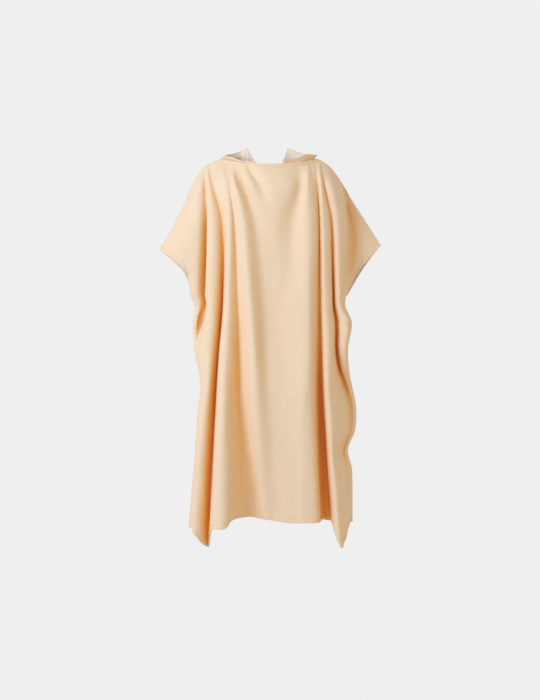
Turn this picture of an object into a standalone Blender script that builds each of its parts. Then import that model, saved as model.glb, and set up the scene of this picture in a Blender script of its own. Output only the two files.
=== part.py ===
"""Hooded bath poncho: a pull-on wrap of two wide cloth panels and a two-piece hood.

The garment keeps the hollow form that it has on the shoulders, with nobody in it.
The front and the back panel meet along the shoulders and down the sides below
the armholes.  The hood is sewn round the inside of the neck and lies thrown
back.  The origin is where the shoulders carry it, at the middle of the neck:
+Z is up, -Y is the front, and +X is on the viewer's right from the front.

Tables hold one row for each fold or section, in millimetres.
"""

import math
from collections import namedtuple

import bmesh
import bpy
from mathutils import Vector

MM = 0.001

CLOTH = 2.6 * MM            # one wall of terry with a flat woven face
SEAM_GAP = 0.3 * MM         # two pieces at a sewn seam
HEM_DEPTH = 12.0 * MM       # the hem's turned edge; the top has a row of this depth too
HEM_RISE = 0.9 * MM         # how far the turned hem stands up on the outer face

NECK_CENTRE = -6.0 * MM     # middle of the neck slit, along X
NECK_HALF = 141.0 * MM      # half the neck slit
NECK_FRONT = 80.0 * MM      # the slit opens this far to the front
NECK_BACK = 70.0 * MM       # and this far to the back
NECK_DROP = 28.0 * MM       # its edges sag this far below its ends
NECK_TOP = 5.0 * MM         # height of its ends
NECK_ROUND = 2.5            # exponent of the slit's plan curve
NECK_CORNER = 6.0 * MM      # the edge is cut square where it opens less than this

ARMHOLE_Z = -420.0 * MM     # the side seams start here
HIP_Z = -570.0 * MM
THIGH_Z = -720.0 * MM
DROPS = {"top": 0.0, "yoke": 0.085, "chest": 0.19, "armhole": 0.42, "hip": 0.57,
         "thigh": 0.72, "hem": 1.10}
YOKE_DOWN = 0.17            # the yoke's share of the way down to the armhole level
CHEST_DOWN = 0.44           # the chest's share of that way

ROWS = 26                   # mesh rows down a panel, between its top and hem rows
ROWS_EVEN = 0.85            # share of their spacing that is even; the rest widens down
PER_SIDE = 2                # mesh columns on the side of a fold
PER_CREST = 1               # mesh columns over its rounded crest
WIDEST_STEP = 21.0 * MM     # flat stretches take more columns than that
HOOD_ALONG = 2              # mesh columns between two hood sections
HOOD_DOWN = 2               # mesh rows between two points of a hood section
HOOD_INSET = 6.6 * MM       # the hood's foot stands this far inside the neck's ends
HOOD_BACKSET = 3.5 * MM     # and this far inside its front and back edge
HOOD_LAP = 3.0 * MM         # it reaches this far below that edge
HOOD_ROLL = 13.0 * MM       # it rises this far before it turns over backwards
HOOD_ROLL_BACK = 2.0 * MM   # and leans back by this much
WALL_ALONG = 0.3            # where its front wall passes, between foot and sag, along X
WALL_BACK = 0.6             # along Y
WALL_DOWN = 0.22            # and along Z
KEEL_SHARE = 0.11           # half width of the hood's lowest fold, in its depth
KEEL_LEAST = 12.0 * MM      # and the least it may be
BACK_BULGE = 0.2            # how far its back wall bulges, in its depth
LIP_PLACE = 0.8             # the hood's lip lies this far up from back wall to rim
LIP_RISE = 1.5              # it rises by this share of how far the rim rolls in
LIP_OUT = 0.3               # and stands out by this share
BAG_STARTS = 20.0 * MM      # depth at which a section hangs as a bag

# Shoulder and upper arm line, from the neck's ends out to the sleeve ends.
ShoulderPoint = namedtuple("ShoulderPoint", "name left_x left_z right_x right_z")
SHOULDER_LINE = (
    ShoulderPoint("neck", -147, 5, 135, 5),
    ShoulderPoint("collar bone", -174, -2, 157, -4),
    ShoulderPoint("shoulder", -205, -28, 184, -30),
    ShoulderPoint("shoulder end", -237, -77, 217, -78),
    ShoulderPoint("upper arm", -262, -137, 250, -136),
    ShoulderPoint("elbow", -297, -208, 294, -203),
    ShoulderPoint("sleeve end", -333, -270, 328, -257),
)

# One row for each ridge, edge, brow or valley of a panel, from the left side to the
# right.  "crest" is half the width of its rounded top or floor; 0 leaves it soft.
Fold = namedtuple(
    "Fold", "name top_x yoke_x yoke_y chest_x chest_y arm_x arm_y hip_x hip_y "
            "thigh_x thigh_y hem_x hem_y hem_z crest")
FRONT_FOLDS = (
    Fold("left side", -333, -299, -25, -257, -34, -229, 4, -213, 12, -198, 20, -218, 30, -1088, 0),
    Fold("left cuff", -258, -254, -44, -249, -58, -239, -24, -224, -8, -209, 4, -243, 8, -1095, 0),
    Fold("left sleeve ridge", -222, -220, -53, -214, -72, -221, -38, -224, -20, -213, -14,
         -241, -10, -1096, 0),
    Fold("left sleeve brow", -207, -206, -50, -202, -64, -210, -30, -222, -28, -213, -26,
         -239, -22, -1098, 0),
    Fold("left sleeve valley", -199, -196, -46, -192.5, -54, -201, -16, -219, -34, -212, -36,
         -236, -32, -1100, 2),
    Fold("left side edge", -193.5, -190, -58, -187, -76, -194.5, -64, -214, -48, -214, -52,
         -232, -44, -1103, 0),
    Fold("left side ridge", -190, -184, -65, -173, -88, -177, -83, -184, -78, -191, -74,
         -220, -58, -1114, 0),
    Fold("left side brow", -185, -178, -62, -155, -80, -157, -72, -166, -71, -176, -69,
         -196, -53, -1142, 1.5),
    Fold("left deep valley", -178, -172, -58, -145, -75, -146, -48, -156.5, -44, -166, -42,
         -183, -46, -1156, 2),
    Fold("left chest edge", -172, -164, -66, -136, -98, -136, -94, -148, -92, -156, -92,
         -173, -98, -1092, 0),
    Fold("left chest ridge", -156, -141, -83, -123, -110, -125, -109, -133, -110, -139, -110,
         -147, -113, -1088, 0),
    Fold("left soft valley", -138, -124, -85, -109, -103, -98, -90, -94, -76, -89, -62,
         -58, -44, -1063, 0),
    Fold("left centre edge", -130, -117, -89, -100, -110, -87, -103, -82, -91, -78, -77,
         -46, -42, -1065, 0),
    Fold("left centre ridge", -118, -104, -98, -79, -120, -61, -121, -51, -117, -45, -105,
         -28, -38, -1069, 0),
    Fold("left cowl valley", -104, -88, -92, -57, -106, -32, -106, -27, -103, -12, -96,
         3, -38, -1076, 0),
    Fold("left of centre", -70, -62, -109, -26, -119, -8, -101, 0, -98, 14, -95,
         28, -40, -1080, 0),
    Fold("centre", -4, 26, -113, 14, -120, 20, -101, 27, -98, 36, -97, 48, -42, -1082, 0),
    Fold("right cowl valley", 78, 71, -93, 59, -106, 58, -103, 62, -101, 68, -99,
         74, -48, -1082, 0),
    Fold("right centre ridge", 111, 102, -108, 103, -120, 105, -111, 104, -108, 100, -103,
         94, -54, -1081, 0),
    Fold("right centre brow", 122, 121, -94, 130, -104, 121, -102, 122, -98, 123, -92,
         144, -62, -1079, 1.5),
    Fold("right deep valley", 129, 132, -85, 136, -83, 138, -66, 138, -62, 138, -56,
         154, -10, -1067, 0),
    Fold("right deep floor", 135, 137, -84, 140.5, -81, 144, -60, 148, -51, 153, -39,
         178, -10, -1078, 0),
    Fold("right chest edge", 139, 141, -88, 144.5, -92, 148.5, -82, 152, -77, 158, -73,
         185, -32, -1088, 0),
    Fold("right chest ridge", 143, 146, -91, 152, -98, 160, -88, 166, -87, 172, -86,
         199, -60, -1134, 0),
    Fold("right chest brow", 147, 150, -86, 169, -86, 178, -74, 185, -72, 200, -62,
         211, -55, -1157, 0),
    Fold("right side valley", 153, 154, -82, 176, -68, 184.5, -46, 196, -40, 234, -2,
         220, -44, -1136, 2),
    Fold("right side edge", 159, 160, -84, 182, -78, 190, -63, 203, -57, 243, -12,
         228, -30, -1106, 0),
    Fold("right side ridge", 174, 182, -78, 195, -84, 205, -70, 218, -61, 247, -4,
         235, -16, -1088, 0),
    Fold("right sleeve fall", 196, 206, -52, 226, -58, 215, -46, 227, -40, 249, 6,
         239, -2, -1078, 0),
    Fold("right sleeve valley", 214, 228, -22, 240, -26, 222, -24, 231, -22, 250.5, 14,
         241, 9, -1071, 0),
    Fold("right sleeve ridge", 256, 266, -42, 276, -38, 224, -10, 234, -4, 251, 23,
         241, 18, -1068, 0),
    Fold("right side", 328, 304, -28, 276, -34, 219, 4, 232, 15, 248, 30, 238, 28, -1066, 0),
)
BACK_FOLDS = (
    Fold("left side", -333, -301, 25, -262, 34, -229, 4, -213, 12, -198, 20, -218, 30, -1088, 0),
    Fold("left back sleeve ridge", -248, -245, 49, -242, 66, -226, 50, -217, 54, -204, 60,
         -224, 74, -1096, 5),
    Fold("left back sleeve valley", -206, -202, 22, -198, 30, -184, 28, -181, 30, -176, 32,
         -190, 40, -1100, 4),
    Fold("left back ridge", -172, -167, 67, -160, 90, -150, 98, -148, 101, -146, 104,
         -158, 108, -1088, 5),
    Fold("left back valley", -146, -138, 38, -128, 50, -116, 40, -112, 40, -108, 42,
         -112, 40, -1080, 4),
    Fold("left back soft ridge", -112, -104, 85, -94, 103, -80, 112, -73, 114, -66, 116,
         -54, 118, -1070, 5),
    Fold("left back soft valley", -80, -72, 83, -62, 92, -46, 90, -37, 89, -28, 88,
         -8, 80, -1064, 0),
    Fold("back centre", -20, -15, 97, -8, 106, 2, 116, 9, 118, 16, 119, 34, 121, -1062, 0),
    Fold("right back soft valley", 40, 42, 86, 44, 92, 50, 88, 57, 84, 64, 80,
         78, 70, -1066, 0),
    Fold("right back soft ridge", 84, 85, 90, 86, 104, 94, 112, 99, 114, 104, 115,
         114, 116, -1072, 5),
    Fold("right back valley", 124, 125, 40, 126, 48, 132, 36, 137, 35, 142, 34,
         148, 36, -1082, 4),
    Fold("right back ridge", 156, 159, 65, 162, 88, 170, 94, 176, 96, 182, 98,
         190, 98, -1094, 5),
    Fold("right back sleeve valley", 190, 193, 25, 196, 34, 198, 26, 205, 30, 212, 34,
         216, 44, -1098, 4),
    Fold("right back sleeve ridge", 246, 247, 44, 248, 60, 220, 44, 232, 53, 244, 62,
         242, 62, -1092, 5),
    Fold("right side", 328, 306, 24, 280, 32, 219, 4, 232, 15, 248, 30, 238, 28, -1066, 0),
)

# The sides swing in and out below the armholes.
Swing = namedtuple("Swing", "name z left right")
SIDE_SWINGS = (
    Swing("armhole", -405, 0, -2),
    Swing("seam top", -440, 11, -2),
    Swing("pinch", -486, 0, 15),
    Swing("waist", -560, -5, -3),
    Swing("low waist", -622, 3, -8),
    Swing("hip", -680, 6, -5),
    Swing("thigh", -745, -2, 4),
    Swing("above the knee", -810, -3, 2),
    Swing("knee", -870, -4, -18),
    Swing("calf", -935, -4, -3),
    Swing("hem", -1160, 0, 0),
)
SWING_FROM = 176.0 * MM     # only cloth further out than this swings
SWING_FULL = 214.0 * MM     # and it swings in full from here

# One row for each section of the hood, from its front end round to the centre
# seam.  "foot" counts 0 at the front end, 1 at the shoulder and 2 at the back;
# "sag" is where the section hangs lowest, and "over" is how far its rim rolls in.
HoodSection = namedtuple("HoodSection", "name foot sag_x sag_y sag_z rim_x rim_y rim_z over")
HOOD_RIGHT = (
    HoodSection("front end", 0.0, 34, -72, -16, 36, -74, -7, 0),
    HoodSection("front", 0.45, 77, -52, -9, 79, -57, -1, 0),
    HoodSection("shoulder front", 0.72, 104, -33, 2, 106, -39, 13, 0),
    HoodSection("shoulder", 1.0, 130, -1, 9, 137, -4, 12, 0),
    HoodSection("shoulder back", 1.08, 121, 14, 13, 135, 20, 17, 0),
    HoodSection("shoulder blade", 1.20, 141, 78, -56, 122, 56, 20, 0),
    HoodSection("side", 1.40, 138, 116, -150, 94, 78, 27, 0),
    HoodSection("ear", 1.60, 104, 142, -224, 57, 95, 47, 0),
    HoodSection("dip", 1.80, 56, 156, -278, 30, 103, -12, 12),
    HoodSection("centre seam", 2.0, -6, 162, -300, -6, 116, -46, 22),
)
HOOD_LEFT = (
    HoodSection("front end", 0.0, -43, -72, -18, -45, -74, -13, 0),
    HoodSection("front", 0.45, -87, -52, -12, -89, -56, -7, 0),
    HoodSection("shoulder front", 0.72, -115, -33, -1, -118, -37, 6, 0),
    HoodSection("shoulder", 1.0, -142, -1, 9, -148, -4, 12, 0),
    HoodSection("shoulder back", 1.08, -133, 14, 13, -146, 19, 17, 0),
    HoodSection("shoulder blade", 1.20, -152, 76, -56, -134, 54, 21, 0),
    HoodSection("side", 1.40, -150, 114, -154, -110, 76, 28, 0),
    HoodSection("ear", 1.60, -116, 142, -226, -75, 93, 47, 0),
    HoodSection("dip", 1.80, -66, 156, -280, -45, 103, -10, 12),
    HoodSection("centre seam", 2.0, -6, 162, -300, -6, 116, -46, 22),
)
HOOD_FRONT_END = {"left": -42.0 * MM, "right": 33.0 * MM}

# Outer face and terry face, as lit by plain daylight.
CLOTH_COLOURS = {
    "front_panel": (0.76, 0.56, 0.40),
    "back_panel": (0.74, 0.54, 0.38),
    "hood_left": (0.80, 0.63, 0.47),
    "hood_right": (0.80, 0.63, 0.47),
}
CLOTH_ROUGHNESS = 0.9


def curve_through(knots, points, where):
    """Point on the smooth curve that passes the points at their knots."""
    last = len(knots) - 1
    span = 0
    while span < last - 1 and where > knots[span + 1]:
        span += 1

    def slope(index):
        low, high = max(index - 1, 0), min(index + 1, last)
        return (points[high] - points[low]) / (knots[high] - knots[low])

    width = knots[span + 1] - knots[span]
    t = (where - knots[span]) / width
    start, end = points[span], points[span + 1]
    return (start * (2 * t ** 3 - 3 * t ** 2 + 1) + end * (3 * t ** 2 - 2 * t ** 3)
            + slope(span) * width * (t ** 3 - 2 * t ** 2 + t)
            + slope(span + 1) * width * (t ** 3 - t ** 2))


def row_through(points, counts):
    """Row of points along a smooth curve, with a count of steps for each span."""
    knots = [0.0]
    for start, end in zip(points, points[1:]):
        knots.append(knots[-1] + (end - start).length ** 0.5)
    row = []
    for span, count in enumerate(counts):
        for step in range(count):
            part = step / count
            row.append(curve_through(
                knots, points, knots[span] + part * (knots[span + 1] - knots[span])))
    row.append(points[-1].copy())
    return row


def shoulder_point(x):
    """Point of the shoulder seam above a place along X."""
    if x < NECK_CENTRE:
        line = [Vector((p.left_x, 0.0, p.left_z)) * MM for p in SHOULDER_LINE]
    else:
        line = [Vector((p.right_x, 0.0, p.right_z)) * MM for p in SHOULDER_LINE]
    reach = [abs(p.x - NECK_CENTRE) for p in line]
    return curve_through(reach, line, abs(x - NECK_CENTRE))


def neck_point(x, depth):
    """Point of the neck edge: depth is how far it opens, below 0 to the front."""
    bow = 1.0 - min(1.0, abs(x - NECK_CENTRE) / NECK_HALF) ** NECK_ROUND
    return Vector((x, depth * bow, NECK_TOP - NECK_DROP * bow))


def top_point(x, depth):
    """Point of a panel's top edge: neck edge inside, shoulder seam outside."""
    if abs(x - NECK_CENTRE) < NECK_HALF:
        return neck_point(x, depth)
    return shoulder_point(x)


def fold_line(fold, depth, sidestep):
    """The points of one ridge or valley, from the top edge down to the hem."""
    top = top_point((fold.top_x + sidestep) * MM, depth)
    drop = ARMHOLE_Z - top.z
    levels = (
        (fold.yoke_x, fold.yoke_y, top.z + YOKE_DOWN * drop),
        (fold.chest_x, fold.chest_y, top.z + CHEST_DOWN * drop),
        (fold.arm_x, fold.arm_y, ARMHOLE_Z),
        (fold.hip_x, fold.hip_y, HIP_Z),
        (fold.thigh_x, fold.thigh_y, THIGH_Z),
        (fold.hem_x, fold.hem_y, fold.hem_z * MM),
    )
    return [top] + [Vector(((x + sidestep) * MM, y * MM, z)) for x, y, z in levels]


def panel_drops():
    """How far down the cloth each mesh row lies, closer together at the top."""
    length = DROPS["hem"]
    first, last = HEM_DEPTH, length - HEM_DEPTH
    parts = [i / ROWS for i in range(ROWS + 1)]
    inner = [first + (last - first) * (ROWS_EVEN * part + (1.0 - ROWS_EVEN) * part ** 2)
             for part in parts]
    return [0.0] + inner + [length]


def side_edge(line, drop):
    """Point of a panel's side edge: a free cuff above, and the side seam below."""
    knots = list(DROPS.values())
    seam = list(DROPS).index("armhole")
    if drop < DROPS["armhole"]:
        return curve_through(knots[:seam + 1], line[:seam + 1], drop)
    return curve_through(knots[seam:], line[seam:], drop)


def swung(point):
    """The point moved sideways as the sides swing in and out."""
    share = (abs(point.x) - SWING_FROM) / (SWING_FULL - SWING_FROM)
    if share <= 0 or point.z > SIDE_SWINGS[0].z * MM:
        return point
    knots = [-swing.z * MM for swing in SIDE_SWINGS]
    sides = [(swing.left if point.x < 0 else swing.right) * MM for swing in SIDE_SWINGS]
    return point + Vector((curve_through(knots, sides, -point.z) * min(1.0, share), 0, 0))


def panel_grid(folds, depth):
    """Rows of points over one panel, through all its folds."""
    lines, counts = [], []
    for fold in folds:
        steps = (-fold.crest, fold.crest) if fold.crest else (0,)
        lines += [fold_line(fold, depth, step) for step in steps]
        counts += [PER_CREST] * (len(steps) - 1) + [PER_SIDE]
    counts.pop()
    counts = [max(count, round((right[0].x - left[0].x) / WIDEST_STEP))
              for count, left, right in zip(counts, lines, lines[1:])]
    knots = list(DROPS.values())
    grid = []
    for drop in panel_drops():
        points = [curve_through(knots, line, drop) for line in lines]
        points[0], points[-1] = side_edge(lines[0], drop), side_edge(lines[-1], drop)
        grid.append([swung(point) for point in row_through(points, counts)])
    grid[0] = [top_point(point.x, depth) for point in grid[0]]
    return grid


def surface_normals(grid, outward):
    """Unit normals of a grid of points, on the side that outward asks for."""
    count_rows, count_columns = len(grid), len(grid[0])
    normals = []
    for r in range(count_rows):
        row = []
        for c in range(count_columns):
            down = grid[min(r + 1, count_rows - 1)][c] - grid[max(r - 1, 0)][c]
            along = grid[r][min(c + 1, count_columns - 1)] - grid[r][max(c - 1, 0)]
            row.append(along.cross(down).normalized() * outward)
        normals.append(row)
    return normals


def square_to(normal, axis):
    """The normal turned square to an axis, so that a wall's end is cut square."""
    flat = normal.copy()
    flat[axis] = 0.0
    return flat.normalized()


def cloth_wall(name, grid, normals, rises):
    """Closed wall of cloth about a grid: its outer face also takes the rises."""
    mesh = bpy.data.meshes.new(name)
    shell = bmesh.new()
    half = CLOTH / 2
    outer = [[shell.verts.new(p + n * (half + rise)) for p, n, rise in zip(*rows)]
             for rows in zip(grid, normals, rises)]
    inner = [[shell.verts.new(p - n * half) for p, n in zip(*rows)]
             for rows in zip(grid, normals)]
    last_row, last_column = len(grid) - 1, len(grid[0]) - 1
    for r in range(last_row):
        for c in range(last_column):
            shell.faces.new((outer[r][c], outer[r][c + 1], outer[r + 1][c + 1], outer[r + 1][c]))
            shell.faces.new((inner[r][c], inner[r + 1][c], inner[r + 1][c + 1], inner[r][c + 1]))
    for r in range(last_row):
        for c in (0, last_column):
            shell.faces.new((outer[r][c], outer[r + 1][c], inner[r + 1][c], inner[r][c]))
    for c in range(last_column):
        for r in (0, last_row):
            shell.faces.new((outer[r][c], outer[r][c + 1], inner[r][c + 1], inner[r][c]))
    bmesh.ops.recalc_face_normals(shell, faces=shell.faces)
    shell.to_mesh(mesh)
    shell.free()
    mesh.shade_smooth()
    return bpy.data.objects.new(name, mesh)


def make_panel(name, folds, depth, outward):
    """Front or back panel with its half of both sleeves and its turned hem."""
    grid = panel_grid(folds, depth)
    normals = surface_normals(grid, outward)
    last_row, last_column = len(grid) - 1, len(grid[0]) - 1
    toward = -1.0 if depth < 0 else 1.0
    half_gap = Vector((0.0, toward * SEAM_GAP / 2, 0.0))
    drops = panel_drops()

    for c in range(last_column + 1):
        if abs(grid[0][c].y) < NECK_CORNER:
            normals[0][c] = square_to(normals[0][c], 1)
        grid[0][c] += half_gap
    for r in range(1, last_row + 1):
        for c in (0, last_column):
            if drops[r] >= DROPS["armhole"]:
                normals[r][c] = square_to(normals[r][c], 1)
                grid[r][c] += half_gap

    rises = [[0.0] * (last_column + 1) for _ in grid]
    for r in (last_row - 1, last_row):
        rises[r] = [HEM_RISE] * (last_column + 1)
    return cloth_wall(name, grid, normals, rises)


def hood_foot(side, foot):
    """Point of the hood's lower edge, just inside the neck edge."""
    half = NECK_HALF - HOOD_INSET
    sign = -1.0 if side == "left" else 1.0
    end = NECK_CENTRE + sign * half
    if foot <= 1.0:
        start, depth, part = HOOD_FRONT_END[side], -(NECK_FRONT - HOOD_BACKSET), foot
    else:
        start, depth, part = NECK_CENTRE, NECK_BACK - HOOD_BACKSET, 2.0 - foot
    x = start + (end - start) * part
    bow = 1.0 - min(1.0, abs(x - NECK_CENTRE) / half) ** NECK_ROUND
    return Vector((x, depth * bow, NECK_TOP - NECK_DROP * bow - HOOD_LAP))


def hood_section(side, section):
    """Points of one hood section: foot, roll, front wall, sag, back wall and rim."""
    foot = hood_foot(side, section.foot)
    sag = Vector((section.sag_x, section.sag_y, section.sag_z)) * MM
    rim = Vector((section.rim_x, section.rim_y, section.rim_z)) * MM
    depth = max(0.0, foot.z - sag.z)
    hang = min(1.0, depth / BAG_STARTS)
    turn = math.radians(90.0 * max(0.0, section.foot - 1.0))
    outward = Vector((math.copysign(math.cos(turn), sag.x), math.sin(turn), 0.0))
    keel = max(KEEL_SHARE * depth, KEEL_LEAST) * hang
    lift = Vector((0.0, 0.0, keel))
    back = (sag + rim) / 2 + outward * BACK_BULGE * depth
    lip = Vector((0.0, 0.0, LIP_RISE))
    bag = [
        foot,
        foot + Vector((0.0, HOOD_ROLL_BACK, HOOD_ROLL)),
        Vector((foot.x + WALL_ALONG * (sag.x - foot.x), foot.y + WALL_BACK * (sag.y - foot.y),
                foot.z + WALL_DOWN * (sag.z - foot.z))),
        sag - outward * keel + lift,
        sag,
        sag + outward * keel + lift,
        back,
        back.lerp(rim, LIP_PLACE) + (outward * LIP_OUT + lip) * section.over * MM,
        rim,
    ]
    steps = len(bag) - 1
    stand = [foot.lerp(sag, i / steps).lerp(sag.lerp(rim, i / steps), i / steps)
             for i in range(steps + 1)]
    return [up.lerp(down, hang) for up, down in zip(stand, bag)]


def make_hood_half(name, side, sections, outward):
    """One half of the hood, from its front end round to the centre seam."""
    rows = [hood_section(side, section) for section in sections]
    rows = [row_through(row, [HOOD_DOWN] * (len(row) - 1)) for row in rows]
    grid = [row_through(list(line), [HOOD_ALONG] * (len(line) - 1)) for line in zip(*rows)]
    normals = surface_normals(grid, outward)
    sign = -1.0 if side == "left" else 1.0
    for line, line_normals in zip(grid, normals):
        line[-1] += Vector((sign * SEAM_GAP / 2, 0.0, 0.0))
        line_normals[-1] = square_to(line_normals[-1], 0)
    rises = [[0.0] * len(line) for line in grid]
    return cloth_wall(name, grid, normals, rises)


def cloth_material(name, colour):
    """Plain matt cloth in one colour."""
    material = bpy.data.materials.new(name + "_cloth")
    material.use_nodes = True
    shader = material.node_tree.nodes["Principled BSDF"]
    shader.inputs["Base Color"].default_value = (*colour, 1.0)
    shader.inputs["Roughness"].default_value = CLOTH_ROUGHNESS
    shader.inputs["Metallic"].default_value = 0.0
    return material


def main():
    """Build the garment in its own collection."""
    for old in list(bpy.data.objects):
        bpy.data.objects.remove(old, do_unlink=True)
    poncho = bpy.data.collections.new("hooded_bath_poncho")
    bpy.context.scene.collection.children.link(poncho)
    pieces = (
        make_panel("front_panel", FRONT_FOLDS, -NECK_FRONT, -1.0),
        make_panel("back_panel", BACK_FOLDS, NECK_BACK, 1.0),
        make_hood_half("hood_left", "left", HOOD_LEFT, -1.0),
        make_hood_half("hood_right", "right", HOOD_RIGHT, 1.0),
    )
    for piece in pieces:
        piece.data.materials.append(cloth_material(piece.name, CLOTH_COLOURS[piece.name]))
        poncho.objects.link(piece)


main()
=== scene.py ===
"""Looks of the hooded bath poncho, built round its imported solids.

Two cloth panels and two hood halves are thin closed shells on the form of their
solids, with finer folds, creases and turned hems.  Each shell has a flat woven
face outside and a terry face inside.  Stitches, and the terry loops along the hood's
rim, are pieces of their own.

Everything is in metres, +Z up, -Y the front and +X on the viewer's right.  Tables
hold one row for each fold, section or crease, in millimetres.
"""

from __future__ import annotations

import logging
import math
from dataclasses import dataclass, field
from enum import Enum
from typing import Any, Mapping, Sequence

import bpy
import numpy as np
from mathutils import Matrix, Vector
from mathutils.bvhtree import BVHTree


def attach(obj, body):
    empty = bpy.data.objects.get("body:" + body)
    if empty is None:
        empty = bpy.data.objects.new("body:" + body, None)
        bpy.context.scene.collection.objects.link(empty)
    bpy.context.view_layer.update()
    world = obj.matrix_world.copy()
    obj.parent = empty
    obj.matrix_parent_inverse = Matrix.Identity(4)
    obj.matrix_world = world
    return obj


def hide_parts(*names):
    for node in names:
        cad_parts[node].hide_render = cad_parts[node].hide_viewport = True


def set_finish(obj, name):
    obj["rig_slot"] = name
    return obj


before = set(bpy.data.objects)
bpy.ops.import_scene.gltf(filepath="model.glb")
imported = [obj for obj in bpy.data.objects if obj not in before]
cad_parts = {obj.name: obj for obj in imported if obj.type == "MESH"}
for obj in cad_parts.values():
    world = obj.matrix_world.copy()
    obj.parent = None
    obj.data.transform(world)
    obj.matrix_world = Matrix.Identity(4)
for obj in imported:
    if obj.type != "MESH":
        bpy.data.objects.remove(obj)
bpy.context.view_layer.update()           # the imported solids, which stay where they are

log = logging.getLogger("poncho")

MM = 0.001


# ---------------------------------------------------------------------------
# Tables of the garment's form
# ---------------------------------------------------------------------------

@dataclass(frozen=True)
class ShoulderPoint:
    """A point of the shoulder seam, on both sides of the garment."""
    name: str
    left_x: float
    left_z: float
    right_x: float
    right_z: float


@dataclass(frozen=True)
class Fold:
    """One ridge or valley of a panel, at seven levels from the top edge to the hem."""
    name: str
    top_x: float
    yoke_x: float
    yoke_y: float
    chest_x: float
    chest_y: float
    arm_x: float
    arm_y: float
    hip_x: float
    hip_y: float
    thigh_x: float
    thigh_y: float
    hem_x: float
    hem_y: float
    hem_z: float
    crest: float


@dataclass(frozen=True)
class Swing:
    """How far the two sides swing outwards along X at one height."""
    name: str
    z: float
    left: float
    right: float


@dataclass(frozen=True)
class HoodSection:
    """One section of the hood: where it is sewn on, hangs lowest and ends in its rim."""
    name: str
    foot: float
    sag_x: float
    sag_y: float
    sag_z: float
    rim_x: float
    rim_y: float
    rim_z: float
    over: float


@dataclass(frozen=True)
class Crease:
    """A soft ridge, or a trough where rise is below 0, along points seen from the front.

    Attributes:
        name: What the crease is.
        path: Its points, as (x, z) in millimetres.
        width: Half its width.
        rise: How far it stands out in its middle.
        lean: Shifts its middle towards one end, 0.5 is even.
        fade: How softly it fades out at its ends, below 1 is shorter.
    """
    name: str
    path: tuple[tuple[float, float], ...]
    width: float
    rise: float
    lean: float = 0.5
    fade: float = 0.8


SHOULDER_LINE = (
    ShoulderPoint("neck", -147, 3, 135, 3),
    ShoulderPoint("collar bone", -174, -8, 157, -7),
    ShoulderPoint("shoulder", -205, -28, 184, -30),
    ShoulderPoint("shoulder end", -237, -77, 217, -78),
    ShoulderPoint("upper arm", -262, -137, 250, -136),
    ShoulderPoint("elbow", -297, -208, 294, -203),
    ShoulderPoint("sleeve end", -333, -270, 328, -257),
)

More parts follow.
